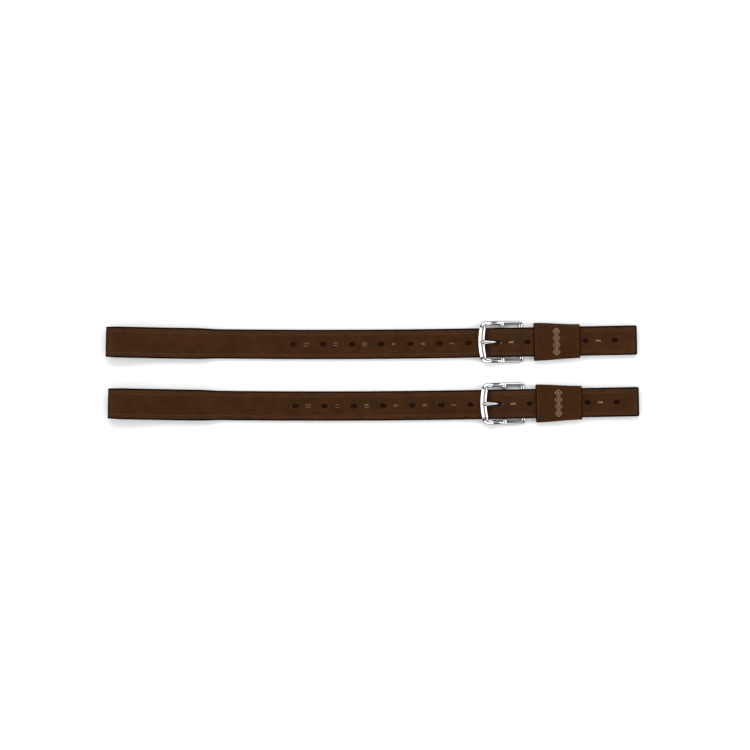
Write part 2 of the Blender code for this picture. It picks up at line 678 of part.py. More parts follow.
def build_keeper(side, rig):
    """A tapered sleeve round the tail, with its butt seam along the underside."""
    slide = bpy.data.objects.new(side + "_keeper_slide", None)
    slide.location = (KEEPER_START_X - BOW_END_X, 0, 0)
    slide.parent = rig
    parts.objects.link(slide)

    shape = box_bmesh((0, -0.5, 0), (KEEPER_LENGTH, 0.5, KEEPER_HEIGHT))
    ends = [face for face in shape.faces if abs(face.normal.x) > 0.5]
    bmesh.ops.delete(shape, geom=ends, context="FACES_ONLY")
    slice_along_x(shape, [KEEPER_LENGTH * step / 6 for step in range(1, 6)])
    for vertex in shape.verts:
        vertex.co.y *= 2 * keeper_half_width(vertex.co.x)
    long_edges = [edge for edge in shape.edges if len(edge.link_faces) == 2
                  and abs(edge.verts[0].co.x - edge.verts[1].co.x) > 1e-6]
    bmesh.ops.bevel(shape, geom=long_edges, offset=KEEPER_EDGE_RADIUS, segments=3, profile=0.5,
                    affect="EDGES")
    sleeve = link_mesh(side + "_keeper_sleeve", mesh_from_bmesh("keeper_sleeve", shape), parts,
                       materials["keeper_leather"], slide)
    wall = sleeve.modifiers.new("wall", "SOLIDIFY")
    wall.thickness = KEEPER_WALL
    wall.offset = -1.0
    wall.use_even_offset = True

    depth = THREAD_DEPTH + THREAD_HEIGHT / 2
    margin = STITCH_INSET / 2
    groove = add_cutter(side + "_keeper_groove", mesh_from_bmesh("keeper_groove", box_bmesh(
        (margin - GAP, -THREAD_WIDTH / 2 - GAP, -KEEPER_WALL),
        (KEEPER_LENGTH - margin + GAP, THREAD_WIDTH / 2 + GAP, depth + GAP))), slide)
    add_boolean(sleeve, groove, "DIFFERENCE")
    shade_round(sleeve)
    link_mesh(side + "_keeper_stitching", mesh_from_bmesh("keeper_stitching", box_bmesh(
        (margin, -THREAD_WIDTH / 2, depth - THREAD_HEIGHT),
        (KEEPER_LENGTH - margin, THREAD_WIDTH / 2, depth))), parts, materials["thread"], slide)
    return sleeve


# ---- the pair -------------------------------------------------------------------------------

def build_strap(side, shift_x, line_y, meshes):
    """One complete leather on its own empty."""
    rig = bpy.data.objects.new(side + "_leather", None)
    rig.location = (shift_x - STRAP_LENGTH / 2, line_y - BUCKLE_SIDE_SHIFT, 0)
    parts.objects.link(rig)

    tail = bpy.data.objects.new(side + "_tail_line", None)
    tail.location = (*plan_point(BOW_END_X, 0), 0)
    tail.rotation_euler = (0, 0, math.atan(TAIL_SLOPE))
    tail.parent = rig
    parts.objects.link(tail)
    finishes = {"edge_stitching": "thread", "underside_stitching": "thread"}
    for piece, mesh in meshes.items():
        material = materials[finishes.get(piece, piece)]
        link_mesh(side + "_" + piece, mesh.copy(), parts, material, rig)

    buckle = bpy.data.objects.new(side + "_buckle", None)
    buckle.location = (-BOW_END_X, BUCKLE_SIDE_SHIFT, 0)
    buckle.parent = tail
    parts.objects.link(buckle)
    build_buckle_frame(side, buckle)
    build_centre_bar(side, buckle)
    build_tongue(side, buckle)
    build_keeper(side, tail)


clear_scene()
parts = new_collection("stirrup_leathers")
cutters = new_collection("stirrup_leathers_cutters")
materials = {name: make_material(name) for name in COLOURS}
layers = strap_meshes()
build_strap("left", -PAIR_STAGGER / 2, PAIR_SPACING / 2, layers)
build_strap("right", PAIR_STAGGER / 2, -PAIR_SPACING / 2, layers)
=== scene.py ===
"""Finished looks for a pair of short buckled stirrup leathers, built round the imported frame.

Each strap is made flat, in a space where X is the distance from the tail's tip, Y the place
across and Z the height above the middle of its thickness. It is then laid on the same course
as the frame: folded back at one end, over the buckle at the other, and a little bowed.
"""
import json
import math
from functools import lru_cache

import bmesh
import bpy
from bpy.props import FloatProperty, FloatVectorProperty, IntProperty, PointerProperty
from mathutils import Matrix, Vector, noise


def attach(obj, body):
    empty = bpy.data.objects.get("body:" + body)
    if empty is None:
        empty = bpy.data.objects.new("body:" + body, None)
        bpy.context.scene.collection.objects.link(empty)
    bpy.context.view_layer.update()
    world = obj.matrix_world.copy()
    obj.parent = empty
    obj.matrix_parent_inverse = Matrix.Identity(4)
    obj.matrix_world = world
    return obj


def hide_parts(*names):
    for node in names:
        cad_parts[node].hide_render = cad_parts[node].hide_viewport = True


bl_info = {
    "name": "Stirrup leathers",
    "version": (1, 0, 0),
    "blender": (4, 5, 0),
    "location": "View3D > Sidebar > Leathers",
    "description": "Builds the finished pieces of a pair of buckled stirrup leathers",
    "category": "Add Mesh",
}

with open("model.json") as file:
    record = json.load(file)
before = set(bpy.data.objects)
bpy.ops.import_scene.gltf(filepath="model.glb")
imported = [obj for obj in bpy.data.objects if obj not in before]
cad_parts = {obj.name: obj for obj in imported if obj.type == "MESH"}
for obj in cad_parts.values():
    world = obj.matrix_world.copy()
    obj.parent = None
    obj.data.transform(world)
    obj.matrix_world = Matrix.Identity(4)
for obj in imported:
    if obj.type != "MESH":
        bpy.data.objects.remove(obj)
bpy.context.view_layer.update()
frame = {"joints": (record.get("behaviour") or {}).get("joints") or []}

SIDES = ("left", "right")
MM = 0.001

# ---- the frame's own sizes, in metres --------------------------------------------------------

STRAP_LENGTH = 0.462
STRAP_WIDTH = 0.0256
STRAP_THICKNESS = 0.0034
TIP_CORNER_RADIUS = 0.0015
GAP = 0.0003

FOLD_RADIUS = 0.0042
FOLD_CENTRE = FOLD_RADIUS + STRAP_THICKNESS / 2
FOLD_BACK_LENGTH = 0.082
LOOP_ROUND_LENGTH = 0.014
LOOP_LENGTH = 0.052
FOLD_EXTRA_WIDTH = 0.0014
FOLD_STEP_LENGTH = 0.017
FOLD_END_MARGIN = 0.0015
STRAP_RISE_LENGTH = 0.011
FLARE_START = -0.010
FLARE_END_MARGIN = 0.004
LONG_RUN = STRAP_LENGTH - FOLD_CENTRE
FOLD_RUN = math.pi * FOLD_RADIUS
CUT_LENGTH = LONG_RUN + FOLD_RUN + FOLD_BACK_LENGTH - FOLD_CENTRE

HOLE_COUNT = 12
HOLE_PITCH = 0.0254
HOLE_LENGTH = 0.0056
HOLE_WIDTH = 0.0040
TIP_TO_FIRST_HOLE = 0.0194
BUCKLED_HOLE = 5

BUCKLE_LENGTH = 0.0390
BUCKLE_WIDTH = 0.0360
BUCKLE_SIDE_SHIFT = 0.0005
FRONT_BAR_WIDTH = 0.0058
FRONT_BAR_BOW = 0.0012
ARM_WIDTH_FRONT = 0.0042
ARM_WIDTH_REAR = 0.0028
REAR_BAR_WIDTH = 0.0032
FRONT_CORNER_RADIUS = 0.0062
REAR_CORNER_RADIUS = 0.0034
FRAME_FLATNESS = 0.72
HINGE_TO_FRONT = 0.0211
HOLE_TO_HINGE = 0.0040
BUCKLED_HOLE_X = STRAP_LENGTH - TIP_TO_FIRST_HOLE - (BUCKLED_HOLE - 1) * HOLE_PITCH
HINGE_X = BUCKLED_HOLE_X + HOLE_TO_HINGE
BUCKLE_FRONT_X = HINGE_X - HINGE_TO_FRONT
BUCKLE_REAR_X = BUCKLE_FRONT_X + BUCKLE_LENGTH
FRONT_BAR_X = BUCKLE_FRONT_X + FRONT_BAR_WIDTH / 2
REAR_BAR_X = BUCKLE_REAR_X - REAR_BAR_WIDTH / 2

CENTRE_BAR_RADIUS = 0.0013
SPIGOT_RADIUS = 0.0008
SPIGOT_LENGTH = 0.0016
BOSS_WALL = 0.0008
BOSS_LENGTH = 0.0014
TONGUE_EYE_WIDTH = 0.0034
EYE_BORE_RADIUS = CENTRE_BAR_RADIUS + GAP
EYE_RADIUS = EYE_BORE_RADIUS + 0.0009
HINGE_Z = EYE_RADIUS + GAP
TONGUE_NECK_RADIUS = 0.00085
TONGUE_SHAFT_RADIUS = 0.00105
TONGUE_HEAD_RADIUS = 0.00165
TONGUE_HEAD_LENGTH = 0.0028
TONGUE_TIP_RADIUS = 0.00085
TONGUE_TO_HOLE_END = 0.0008
NOTCH_DEPTH = 0.0009
STRAP_LIFT_AT_FRONT_BAR = 0.0006
FRONT_BAR_HALF_HEIGHT = FRAME_FLATNESS * FRONT_BAR_WIDTH / 2
FRONT_BAR_Z = STRAP_LIFT_AT_FRONT_BAR + STRAP_THICKNESS + GAP + FRONT_BAR_HALF_HEIGHT
FRONT_BAR_TOP = FRONT_BAR_Z + FRONT_BAR_HALF_HEIGHT
REAR_BAR_HALF_HEIGHT = FRAME_FLATNESS * REAR_BAR_WIDTH / 2
REAR_BAR_Z = 0.0006 + REAR_BAR_HALF_HEIGHT

KEEPER_LENGTH = 0.0400
KEEPER_WALL = 0.0014
KEEPER_PLAY = 0.0003
KEEPER_EDGE_RADIUS = 0.0024
KEEPER_START_X = BUCKLE_REAR_X + 0.0094
KEEPER_TRAVEL_BACK = 0.0020
KEEPER_HEIGHT = STRAP_THICKNESS + 2 * (KEEPER_PLAY + KEEPER_WALL)
KEEPER_WIDTH_WIDE = 0.0330
KEEPER_WIDTH_NARROW = 0.0295

BOW_MIDDLE_X = 0.185
BOW_END_X = BUCKLE_FRONT_X - 0.002
TAIL_SLOPE = 0.0185

STRAP_OVER_HINGE = HINGE_Z + EYE_RADIUS + GAP
STRAP_OVER_REAR_BAR = REAR_BAR_Z + REAR_BAR_HALF_HEIGHT + GAP
TAIL_LIFT = KEEPER_WALL + KEEPER_PLAY
SEAM_LIFT = STRAP_THICKNESS + GAP
LOOP_LIFT = 2 * FOLD_RADIUS

# The strap's underside from the fold to the tip: places and their heights, eased in between.
STRAP_HEIGHTS = (
    (FOLD_CENTRE, LOOP_LIFT),
    (LOOP_ROUND_LENGTH, LOOP_LIFT),
    (LOOP_LENGTH, SEAM_LIFT),
    (FOLD_BACK_LENGTH + FOLD_END_MARGIN, SEAM_LIFT),
    (FOLD_BACK_LENGTH + FOLD_END_MARGIN + FOLD_STEP_LENGTH, 0.0),
    (BUCKLE_FRONT_X - STRAP_RISE_LENGTH, 0.0),
    (BUCKLE_FRONT_X, STRAP_LIFT_AT_FRONT_BAR),
    (FRONT_BAR_X + FRONT_BAR_WIDTH / 2, STRAP_LIFT_AT_FRONT_BAR),
    (HINGE_X - CENTRE_BAR_RADIUS, STRAP_OVER_HINGE),
    (HINGE_X + EYE_RADIUS, STRAP_OVER_HINGE),
    (REAR_BAR_X - REAR_BAR_WIDTH / 3, STRAP_OVER_REAR_BAR),
    (REAR_BAR_X + REAR_BAR_WIDTH / 3, STRAP_OVER_REAR_BAR),
    (KEEPER_START_X - KEEPER_TRAVEL_BACK, TAIL_LIFT),
    (STRAP_LENGTH, TAIL_LIFT),
)


# ---- settings --------------------------------------------------------------------------------

def colour_setting(name, description, default):
    """A setting that holds a colour."""
    return FloatVectorProperty(
        name=name, description=description, subtype="COLOR", default=default, min=0.0, max=1.0)


def length_setting(name, description, millimetres, low=0.0):
    """A setting that holds a length, its default and its least value given in millimetres."""
    return FloatProperty(name=name, description=description, unit="LENGTH",
                         default=millimetres * MM, min=low * MM, precision=5)


def power_setting(name, description, default):
    """A setting that holds a light's power."""
    return FloatProperty(name=name, description=description, unit="POWER", default=default)


class LeatherSettings(bpy.types.PropertyGroup):
    """Strap leather: colours, grain and the tooling along its edges."""

    face_colour: colour_setting(
        "Face leather", "Colour of the outer leather", (0.0352, 0.0115, 0.0019))
    lining_colour: colour_setting(
        "Lining leather", "Colour of the leather underneath", (0.050, 0.020, 0.007))
    edge_colour: colour_setting(
        "Edge paint", "Colour of the painted edges", (0.0040, 0.0018, 0.0010))
    core_colour: colour_setting(
        "Core webbing", "Colour of the webbing inside", (0.011, 0.0042, 0.0026))
    grain_size: length_setting("Grain size", "Width of one pebble of the grain", 0.65, 0.1)
    shoulder_radius: length_setting(
        "Shoulder radius", "Rounding of the bevelled edges", 0.7, 0.1)
    crease_inset: length_setting(
        "Crease inset", "Distance of the pressed crease from the edge", 1.75)
    crease_depth: length_setting("Crease depth", "Depth of the pressed crease", 0.16)
    channel_depth: length_setting(
        "Stitch channel", "Depth of the channel that the thread lies in", 0.42)
    ripple: length_setting("Ripple", "Height of the slow unevenness of the skin", 0.09)


class SeamSettings(bpy.types.PropertyGroup):
    """Thread and stitches."""

    colour: colour_setting("Thread", "Colour of the thread", (0.078, 0.035, 0.016))
    pitch: length_setting("Stitch pitch", "Distance from one stitch to the next", 3.0, 1.0)
    length: length_setting("Stitch length", "Length of the thread seen in one stitch", 2.55)
    width: length_setting("Thread width", "Diameter of the thread", 0.62)
    seed: IntProperty(
        name="Seed", description="Choice of the small turns of the stitches", default=5)


class FoilSettings(bpy.types.PropertyGroup):
    """Stamped foil: the hole numbers and the keepers' pattern."""

    colour: colour_setting("Foil", "Colour of the stamped foil", (0.50, 0.38, 0.24))
    worn_colour: colour_setting(
        "Worn foil", "Colour of the foil where hands have rubbed it", (0.075, 0.040, 0.022))
    number_height: length_setting("Number height", "Height of the numbers by the holes", 3.7)
    number_narrowing: FloatProperty(
        name="Number narrowing", description="Width of the numbers against the plain letter's",
        default=0.80, min=0.3, max=1.5)
    number_distance: length_setting("Number distance", "From a hole's centre to its number", 11.0)
    thickness: length_setting("Foil relief", "How far the foil stands above the leather", 0.02)
    lozenges: IntProperty(
        name="Lozenges", description="Lozenges in the keeper's row", default=4, min=2)
    row_length: length_setting("Row length", "Length of the keeper's row across it", 24.0)
    row_width: length_setting("Row width", "Width of the keeper's row", 6.0)
    line_width: length_setting("Line width", "Width of the foil's lines on the keeper", 0.50)


class MetalSettings(bpy.types.PropertyGroup):
    """Polished steel of the buckles."""

    colour: colour_setting("Steel", "Colour of the polished steel", (0.53, 0.53, 0.54))
    channel_depth: length_setting(
        "Frame channel", "Depth of the channel between the frame's two ridges", 0.85)
    fullness: FloatProperty(
        name="Fullness", description="Shape of the frame's section: 2 is an ellipse",
        default=2.05, min=1.5, max=6.0)


class KeeperSettings(bpy.types.PropertyGroup):
    """The loose leather keepers."""

    colour: colour_setting("Keeper leather", "Colour of the keepers", (0.0362, 0.0119, 0.0020))
    lip_radius: length_setting("Lip radius", "Rounding of the keeper's end edges", 0.5)
    crease_depth: length_setting("Crease depth", "Depth of the pressed line near each end", 0.22)
    seam_width: length_setting("Seam width", "Width of the channel over the closing seam", 1.3)


class StageSettings(bpy.types.PropertyGroup):
    """Floor, lights and camera."""

    floor_colour: colour_setting("Floor", "Colour of the floor", (0.93, 0.93, 0.93))
    view_width: FloatProperty(
        name="View width", description="Width that the camera takes in", unit="LENGTH",
        default=0.6525)
    key_power: power_setting("Key light", "Power of the large light above the far side", 17.5)
    fill_power: power_setting("Fill light", "Power of the light above the near side", 11.5)
    side_power: power_setting("Side lights", "Power of each strip light at the ends", 10.0)
    surround: FloatProperty(
        name="Surround", description="Brightness of the room around the lights", default=0.07)


class LeathersSettings(bpy.types.PropertyGroup):
    """All settings of the pair."""

    leather: PointerProperty(type=LeatherSettings, name="Leather", description="Strap leather")
    seam: PointerProperty(type=SeamSettings, name="Seams", description="Thread and stitches")
    foil: PointerProperty(type=FoilSettings, name="Foil", description="Stamped foil")
    metal: PointerProperty(type=MetalSettings, name="Metal", description="Buckles")
    keeper: PointerProperty(type=KeeperSettings, name="Keepers", description="Loose keepers")
    stage: PointerProperty(type=StageSettings, name="Stage", description="Floor and lights")


# ---- node trees as plain expressions ---------------------------------------------------------

class Wire:
    """A node's output, which takes part in sums like a number."""

    def __init__(self, tree, socket):
        self.tree = tree
        self.socket = socket

    def __add__(self, other):
        return self.tree.math("ADD", self, other)

    def __radd__(self, other):
        return self.tree.math("ADD", other, self)

    def __sub__(self, other):
        return self.tree.math("SUBTRACT", self, other)

    def __rsub__(self, other):
        return self.tree.math("SUBTRACT", other, self)

    def __mul__(self, other):
        return self.tree.math("MULTIPLY", self, other)

    def __rmul__(self, other):
        return self.tree.math("MULTIPLY", other, self)

    def __truediv__(self, other):
        return self.tree.math("DIVIDE", self, other)


class NodeTree:
    """Adds nodes to a shader or geometry tree."""

    def __init__(self, tree):
        self.tree = tree

    def node(self, kind, settings=None, inputs=None, output=0):
        """Add any node: its settings first, then its sockets' values or wires."""
        made = self.tree.nodes.new(kind)
        for name, value in (settings or {}).items():
            if name == "stops":
                self.set_stops(made.color_ramp, value)
            else:
                setattr(made, name, value)
        for key, value in (inputs or {}).items():
            if isinstance(value, Wire):
                self.tree.links.new(value.socket, made.inputs[key])
            else:
                made.inputs[key].default_value = value
        return Wire(self, made.outputs[output]) if made.outputs else made

    def set_stops(self, ramp, stops):
        """Give a ramp its stops: pairs of a place and a colour."""
        while len(ramp.elements) < len(stops):
            ramp.elements.new(1.0)
        for element, (place, colour) in zip(ramp.elements, stops):
            element.position = place
            element.color = colour

    def math(self, operation, *values):
        inputs = dict(enumerate(values))
        return self.node("ShaderNodeMath", {"operation": operation}, inputs)

    def smooth(self, value, start, end):
        """Goes smoothly from 0 where value is start to 1 where it is end."""
        settings = {"interpolation_type": "SMOOTHSTEP"}
        if start > end:
            return 1.0 - self.smooth(value, end, start)
        return self.node("ShaderNodeMapRange", settings, {0: value, 1: start, 2: end})

    def parts_of(self, vector):
        """The three parts of a vector."""
        made = self.node("ShaderNodeSeparateXYZ", inputs={0: vector}).socket.node
        return [Wire(self, socket) for socket in made.outputs]

    def vector(self, x, y, z):
        return self.node("ShaderNodeCombineXYZ", inputs={0: x, 1: y, 2: z})


class Finish(NodeTree):
    """A material: one Principled shader and what feeds it."""

    def __init__(self, name, constants):
        self.material = bpy.data.materials.new(name)
        self.material.use_nodes = True
        super().__init__(self.material.node_tree)
        self.shader = self.tree.nodes["Principled BSDF"]
        for key, value in constants.items():
            self.shader.inputs[key].default_value = value

    def attribute(self, name, output):
        return self.node("ShaderNodeAttribute", {"attribute_name": name}, output=output)

    def scaled(self, vector, x, y, z):
        inputs = {0: vector, 1: (x, y, z)}
        return self.node("ShaderNodeVectorMath", {"operation": "MULTIPLY"}, inputs)

    def noise(self, vector, scale, detail=2.0, roughness=0.5):
        inputs = {"Vector": vector, "Scale": scale, "Detail": detail, "Roughness": roughness}
        return self.node("ShaderNodeTexNoise", inputs=inputs)

    def mix(self, factor, first, second, blend="MIX"):
        """Mix two colours."""
        settings = {"data_type": "RGBA", "blend_type": blend}
        return self.node("ShaderNodeMix", settings, {0: factor, 6: first, 7: second}, 2)

    def bump(self, height, distance, below=None):
        inputs = {"Height": height, "Distance": distance, "Strength": 1.0}
        if below is not None:
            inputs["Normal"] = below
        return self.node("ShaderNodeBump", inputs=inputs)

    def cover(self, mask, constants):
        """Lay a second, plain coat over the shader where the mask is 1."""
        coat = self.tree.nodes.new("ShaderNodeBsdfPrincipled")
        for key, value in constants.items():
            coat.inputs[key].default_value = value
        mixed = self.node("ShaderNodeMixShader", inputs={
            0: mask, 1: Wire(self, self.shader.outputs[0]), 2: Wire(self, coat.outputs[0])})
        target = self.tree.nodes["Material Output"]
        self.tree.links.new(mixed.socket, target.inputs["Surface"])

    def feed(self, **links):
        """Link wires to the shader's sockets; an underscore stands for a space."""
        for name, wire in links.items():
            socket = self.shader.inputs[name.replace("_", " ")]
            self.tree.links.new(wire.socket, socket)
        return self.material


def rgba(colour, share=1.0):
    """A colour with its alpha, made lighter or darker."""
    return (*(min(part * share, 1.0) for part in colour), 1.0)


# ---- materials -------------------------------------------------------------------------------

FACE_PAINT_WIDTH = 1.35 * MM
LINING_PAINT_WIDTH = 1.1 * MM
KEEPER_PAINT_WIDTH = 0.75 * MM
RIB_PITCH = 1.1 * MM
PLY_PITCH = 0.62 * MM


def leather_finish(name, colour, edge_colour, grain, edge_width, roughness):
    """Grained leather, mottled and rubbed, with painted edges.

    The attribute "flat" gives the place on the uncut hide, and "rim" the distance to the edge,
    cut short round each punched hole on the straps so that painted shade darkens the holes.
    """
    finish = Finish(name, {"Specular IOR Level": 0.13, "Specular Tint": (1.0, 0.78, 0.60, 1.0)})
    flat = finish.attribute("flat", "Vector")
    rim = finish.attribute("rim", "Fac")
    warp = finish.noise(flat, 0.4 / grain, 2.0)
    wander = finish.scaled(warp, grain, grain, grain)
    place = finish.node("ShaderNodeVectorMath", {"operation": "ADD"}, {0: flat, 1: wander})
    cells = {"Vector": place, "Scale": 1.0 / grain, "Smoothness": 0.35}
    pebble = finish.node("ShaderNodeTexVoronoi", {"feature": "SMOOTH_F1"}, cells)
    pore = finish.noise(flat, 2.6 / grain, 3.0, 0.6)
    mottle = finish.noise(flat, 95.0, 4.0, 0.62)
    cloud = finish.noise(flat, 22.0, 2.0)
    streak = finish.noise(finish.scaled(flat, 0.16, 1.0, 1.0), 420.0, 3.0, 0.6)

    tone = finish.smooth(0.55 * mottle + 0.25 * cloud + 0.2 * streak, 0.34, 0.66)
    body = finish.mix(tone, rgba(colour, 0.76), rgba(colour, 1.26))
    valley = finish.smooth(pebble, 0.35, 0.75)
    body = finish.mix(0.45 * valley, body, rgba(colour, 0.55))
    rub = finish.smooth(rim, edge_width * 1.2, edge_width * 1.55)
    rub = rub * finish.smooth(rim, edge_width * 2.15, edge_width * 1.7)
    rub = rub * finish.smooth(mottle, 0.30, 0.58)
    body = finish.mix(0.60 * rub, body, rgba(colour, 2.0))
    # Edge paint along the cut edges; round the punched holes the same dark colour is painted shade.
    ragged = rim + 0.35 * MM * (pore - 0.5)
    edge_paint_and_hole_shade = finish.smooth(ragged, edge_width * 1.35, edge_width * 0.9)
    body = finish.mix(0.8 * edge_paint_and_hole_shade, body, rgba(edge_colour))

    shine = roughness + 0.16 * (mottle - 0.5) + 0.10 * valley + 0.14 * (streak - 0.5)
    grain_height = (1.0 - pebble) * (1.0 - 0.8 * edge_paint_and_hole_shade)
    relief = finish.bump(grain_height, 0.085 * grain)
    relief = finish.bump(pore, 0.03 * grain, relief)
    relief = finish.bump(mottle, 0.06 * MM, relief)
    paint = finish.smooth(ragged, edge_width * 0.95, edge_width * 0.75)
    finish.cover(paint, {
        "Base Color": rgba(edge_colour), "Roughness": 0.75, "Specular IOR Level": 0.04})
    return finish.feed(Base_Color=body, Roughness=shine, Normal=relief)


def webbing_finish(settings):
    """Tightly woven webbing, seen only in the holes and along the edges."""
    finish = Finish("woven_core", {"Specular IOR Level": 0.03})
    flat = finish.attribute("flat", "Vector")
    along, across, _ = finish.parts_of(flat)
    turn = 2 * math.pi / RIB_PITCH
    rib = finish.math("SINE", along * turn + 1.2 * finish.math("SINE", across * turn * 1.6))
    weave = finish.noise(flat, 2400.0, 2.0)
    body = finish.mix(finish.smooth(rib + weave, -0.6, 1.6), rgba(settings.core_colour, 0.6),
                      rgba(settings.core_colour, 1.7))
    relief = finish.bump(rib + 0.4 * weave, 0.05 * MM)
    return finish.feed(Base_Color=body, Roughness=0.75 + 0.2 * weave, Normal=relief)


def thread_finish(settings):
    """Waxed twisted thread; "strand" is the place along and round one stitch."""
    finish = Finish("waxed_thread", {"Specular IOR Level": 0.18})
    along, side, up = finish.parts_of(finish.attribute("strand", "Vector"))
    angle = finish.math("ARCTAN2", side, up)
    ply = finish.math("SINE", along * (2 * math.pi / PLY_PITCH) + 2.0 * angle)
    place = finish.node("ShaderNodeTexCoord", output="Object")
    fibre = finish.noise(place, 5200.0, 3.0, 0.65)
    dirt = finish.noise(place, 160.0, 2.0)
    tone = finish.smooth(0.5 + 0.28 * ply + 0.5 * (fibre - 0.5) + 0.5 * (dirt - 0.5), 0.15, 0.85)
    body = finish.mix(tone, rgba(settings.colour, 0.50), rgba(settings.colour, 1.30))
    relief = finish.bump(ply, 0.05 * MM)
    relief = finish.bump(fibre, 0.02 * MM, relief)
    return finish.feed(Base_Color=body, Roughness=0.58 + 0.2 * fibre, Normal=relief)


def steel_finish(settings):
    """Polished steel with fine wiping marks and a little haze."""
    finish = Finish("bright_steel", {"Metallic": 1.0})
    place = finish.node("ShaderNodeTexCoord", output="Object")
    haze = finish.noise(place, 260.0, 3.0, 0.6)
    marks = finish.noise(finish.scaled(place, 1.0, 0.06, 0.5), 5200.0, 2.0, 0.6)
    wave = finish.noise(place, 330.0, 1.0)
    tint = finish.smooth(haze, 0.35, 0.75)
    body = finish.mix(tint, rgba(settings.colour, 0.90), rgba(settings.colour, 1.04))
    shine = 0.055 + 0.07 * finish.smooth(haze, 0.45, 0.8) + 0.05 * (marks - 0.4)
    relief = finish.bump(wave, 0.004 * MM)
    relief = finish.bump(marks, 0.0015 * MM, relief)
    return finish.feed(Base_Color=body, Roughness=shine, Normal=relief)


def foil_finish(settings):
    """Pressed foil, rubbed thin in places."""
    finish = Finish("pressed_foil", {"Specular IOR Level": 0.5})
    place = finish.node("ShaderNodeTexCoord", output="Object")
    rub = finish.noise(place, 900.0, 4.0, 0.7)
    fine = finish.noise(place, 4200.0, 2.0)
    handled = finish.smooth(finish.parts_of(place)[0], 0.17, 0.05)
    worn = finish.smooth(rub + 0.25 * (fine - 0.5) + 0.10 * handled, 0.52, 0.68)
    body = finish.mix(0.75 * worn, rgba(settings.colour), rgba(settings.colour, 0.30))
    body = finish.mix(0.62 * handled, body, rgba(settings.worn_colour))
    relief = finish.bump(fine, 0.03 * MM)
    return finish.feed(Base_Color=body, Roughness=0.34 + 0.25 * rub, Normal=relief,
                       Metallic=0.62 - 0.4 * worn)


def floor_finish(settings):
    """Plain pale paper."""
    finish = Finish("pale_paper", {"Specular IOR Level": 0.1, "Roughness": 0.9})
    place = finish.node("ShaderNodeTexCoord", output="Object")
    tooth = finish.noise(place, 700.0, 2.0)
    body = finish.mix(tooth, rgba(settings.floor_colour, 0.995), rgba(settings.floor_colour))
    return finish.feed(Base_Color=body)


@lru_cache(maxsize=None)
def finish_named(name):
    """The finish of that name, made on first use."""
    settings = bpy.context.scene.leathers
    leather = settings.leather
    if name == "strap_face":
        return leather_finish(name, leather.face_colour, leather.edge_colour,
                              leather.grain_size, FACE_PAINT_WIDTH, 0.46)
    if name == "strap_lining":
        return leather_finish(name, leather.lining_colour, leather.edge_colour,
                              leather.grain_size * 0.6, LINING_PAINT_WIDTH, 0.60)
    if name == "keeper_hide":
        return leather_finish(name, settings.keeper.colour, leather.edge_colour,
                              leather.grain_size * 0.85, KEEPER_PAINT_WIDTH, 0.42)
    makers = {
        "woven_core": (webbing_finish, leather),
        "waxed_thread": (thread_finish, settings.seam),
        "bright_steel": (steel_finish, settings.metal),
        "pressed_foil": (foil_finish, settings.foil),
        "pale_paper": (floor_finish, settings.stage),
    }
    maker, group = makers[name]
    return maker(group)


# ---- meshes ----------------------------------------------------------------------------------

def add_rings(shape, rings, closed=False):
    """Skin a row of rings of points; the row is closed on itself, or else capped."""
    made = [[shape.verts.new(point) for point in ring] for ring in rings]
    pairs = list(zip(made, made[1:]))
    if closed:
        pairs.append((made[-1], made[0]))
    for first, second in pairs:
        count = len(first)
        for place in range(count):
            after = (place + 1) % count
            shape.faces.new((first[place], first[after], second[after], second[place]))
    if not closed:
        shape.faces.new(made[0])
        shape.faces.new(made[-1])


def loft(name, rings, closed=False):
    """A mesh through one row of rings."""
    shape = bmesh.new()
    add_rings(shape, rings, closed)
    return mesh_from(shape, name)


def mesh_from(shape, name):
    """Write a bmesh to a new mesh, its doubles merged and its faces pointing out."""
    bmesh.ops.remove_doubles(shape, verts=shape.verts, dist=1e-6)
    bmesh.ops.recalc_face_normals(shape, faces=shape.faces)
    mesh = bpy.data.meshes.new(name)
    shape.to_mesh(mesh)
    shape.free()
    return mesh


def turned(name, profile, steps=40):
    """A solid turned round Y: the profile gives radii and places along Y, as a closed loop."""
    rings = []
    for step in range(steps):
        turn = 2 * math.pi * step / steps
        rings.append([(radius * math.cos(turn), along, radius * math.sin(turn))
                      for radius, along in profile])
    return loft(name, rings, closed=True)


def temporary(mesh):
    made = bpy.data.objects.new(mesh.name, mesh)
    bpy.context.scene.collection.objects.link(made)
    return made


def evaluated(source, keep=False):
    """The mesh of an object with its modifiers applied; the object goes."""
    graph = bpy.context.evaluated_depsgraph_get()
    graph.update()
    mesh = bpy.data.meshes.new_from_object(source.evaluated_get(graph))
    if not keep:
        bpy.data.objects.remove(source)
    return mesh


def combine(base, tools):
    """Cut and join meshes in order: tools are pairs of a mesh and an operation."""
    target = temporary(base)
    helpers = []
    for mesh, operation in tools:
        tool = temporary(mesh)
        change = target.modifiers.new("change", "BOOLEAN")
        change.object = tool
        change.operation = operation
        change.solver = "EXACT"
        helpers.append(tool)
    made = evaluated(target)
    for tool in helpers:
        bpy.data.objects.remove(tool)
    return made


def store(mesh, name, kind, values):
    """Keep a value for each point on the mesh, for its material."""
    kept = mesh.attributes.new(name, kind, "POINT")
    if kind == "FLOAT":
        kept.data.foreach_set("value", values)
    else:
        kept.data.foreach_set("vector", [part for value in values for part in value])


def reshape(mesh, place, angle=45.0):
    """Move every point by a rule, then point the faces out again and shade them smooth."""
    shape = bmesh.new()
    shape.from_mesh(mesh)
    for vertex in shape.verts:
        vertex.co = place(vertex.co)
    bmesh.ops.recalc_face_normals(shape, faces=shape.faces)
    shape.to_mesh(mesh)
    shape.free()
    mesh.shade_smooth()
    mesh.set_sharp_from_angle(angle=math.radians(angle))


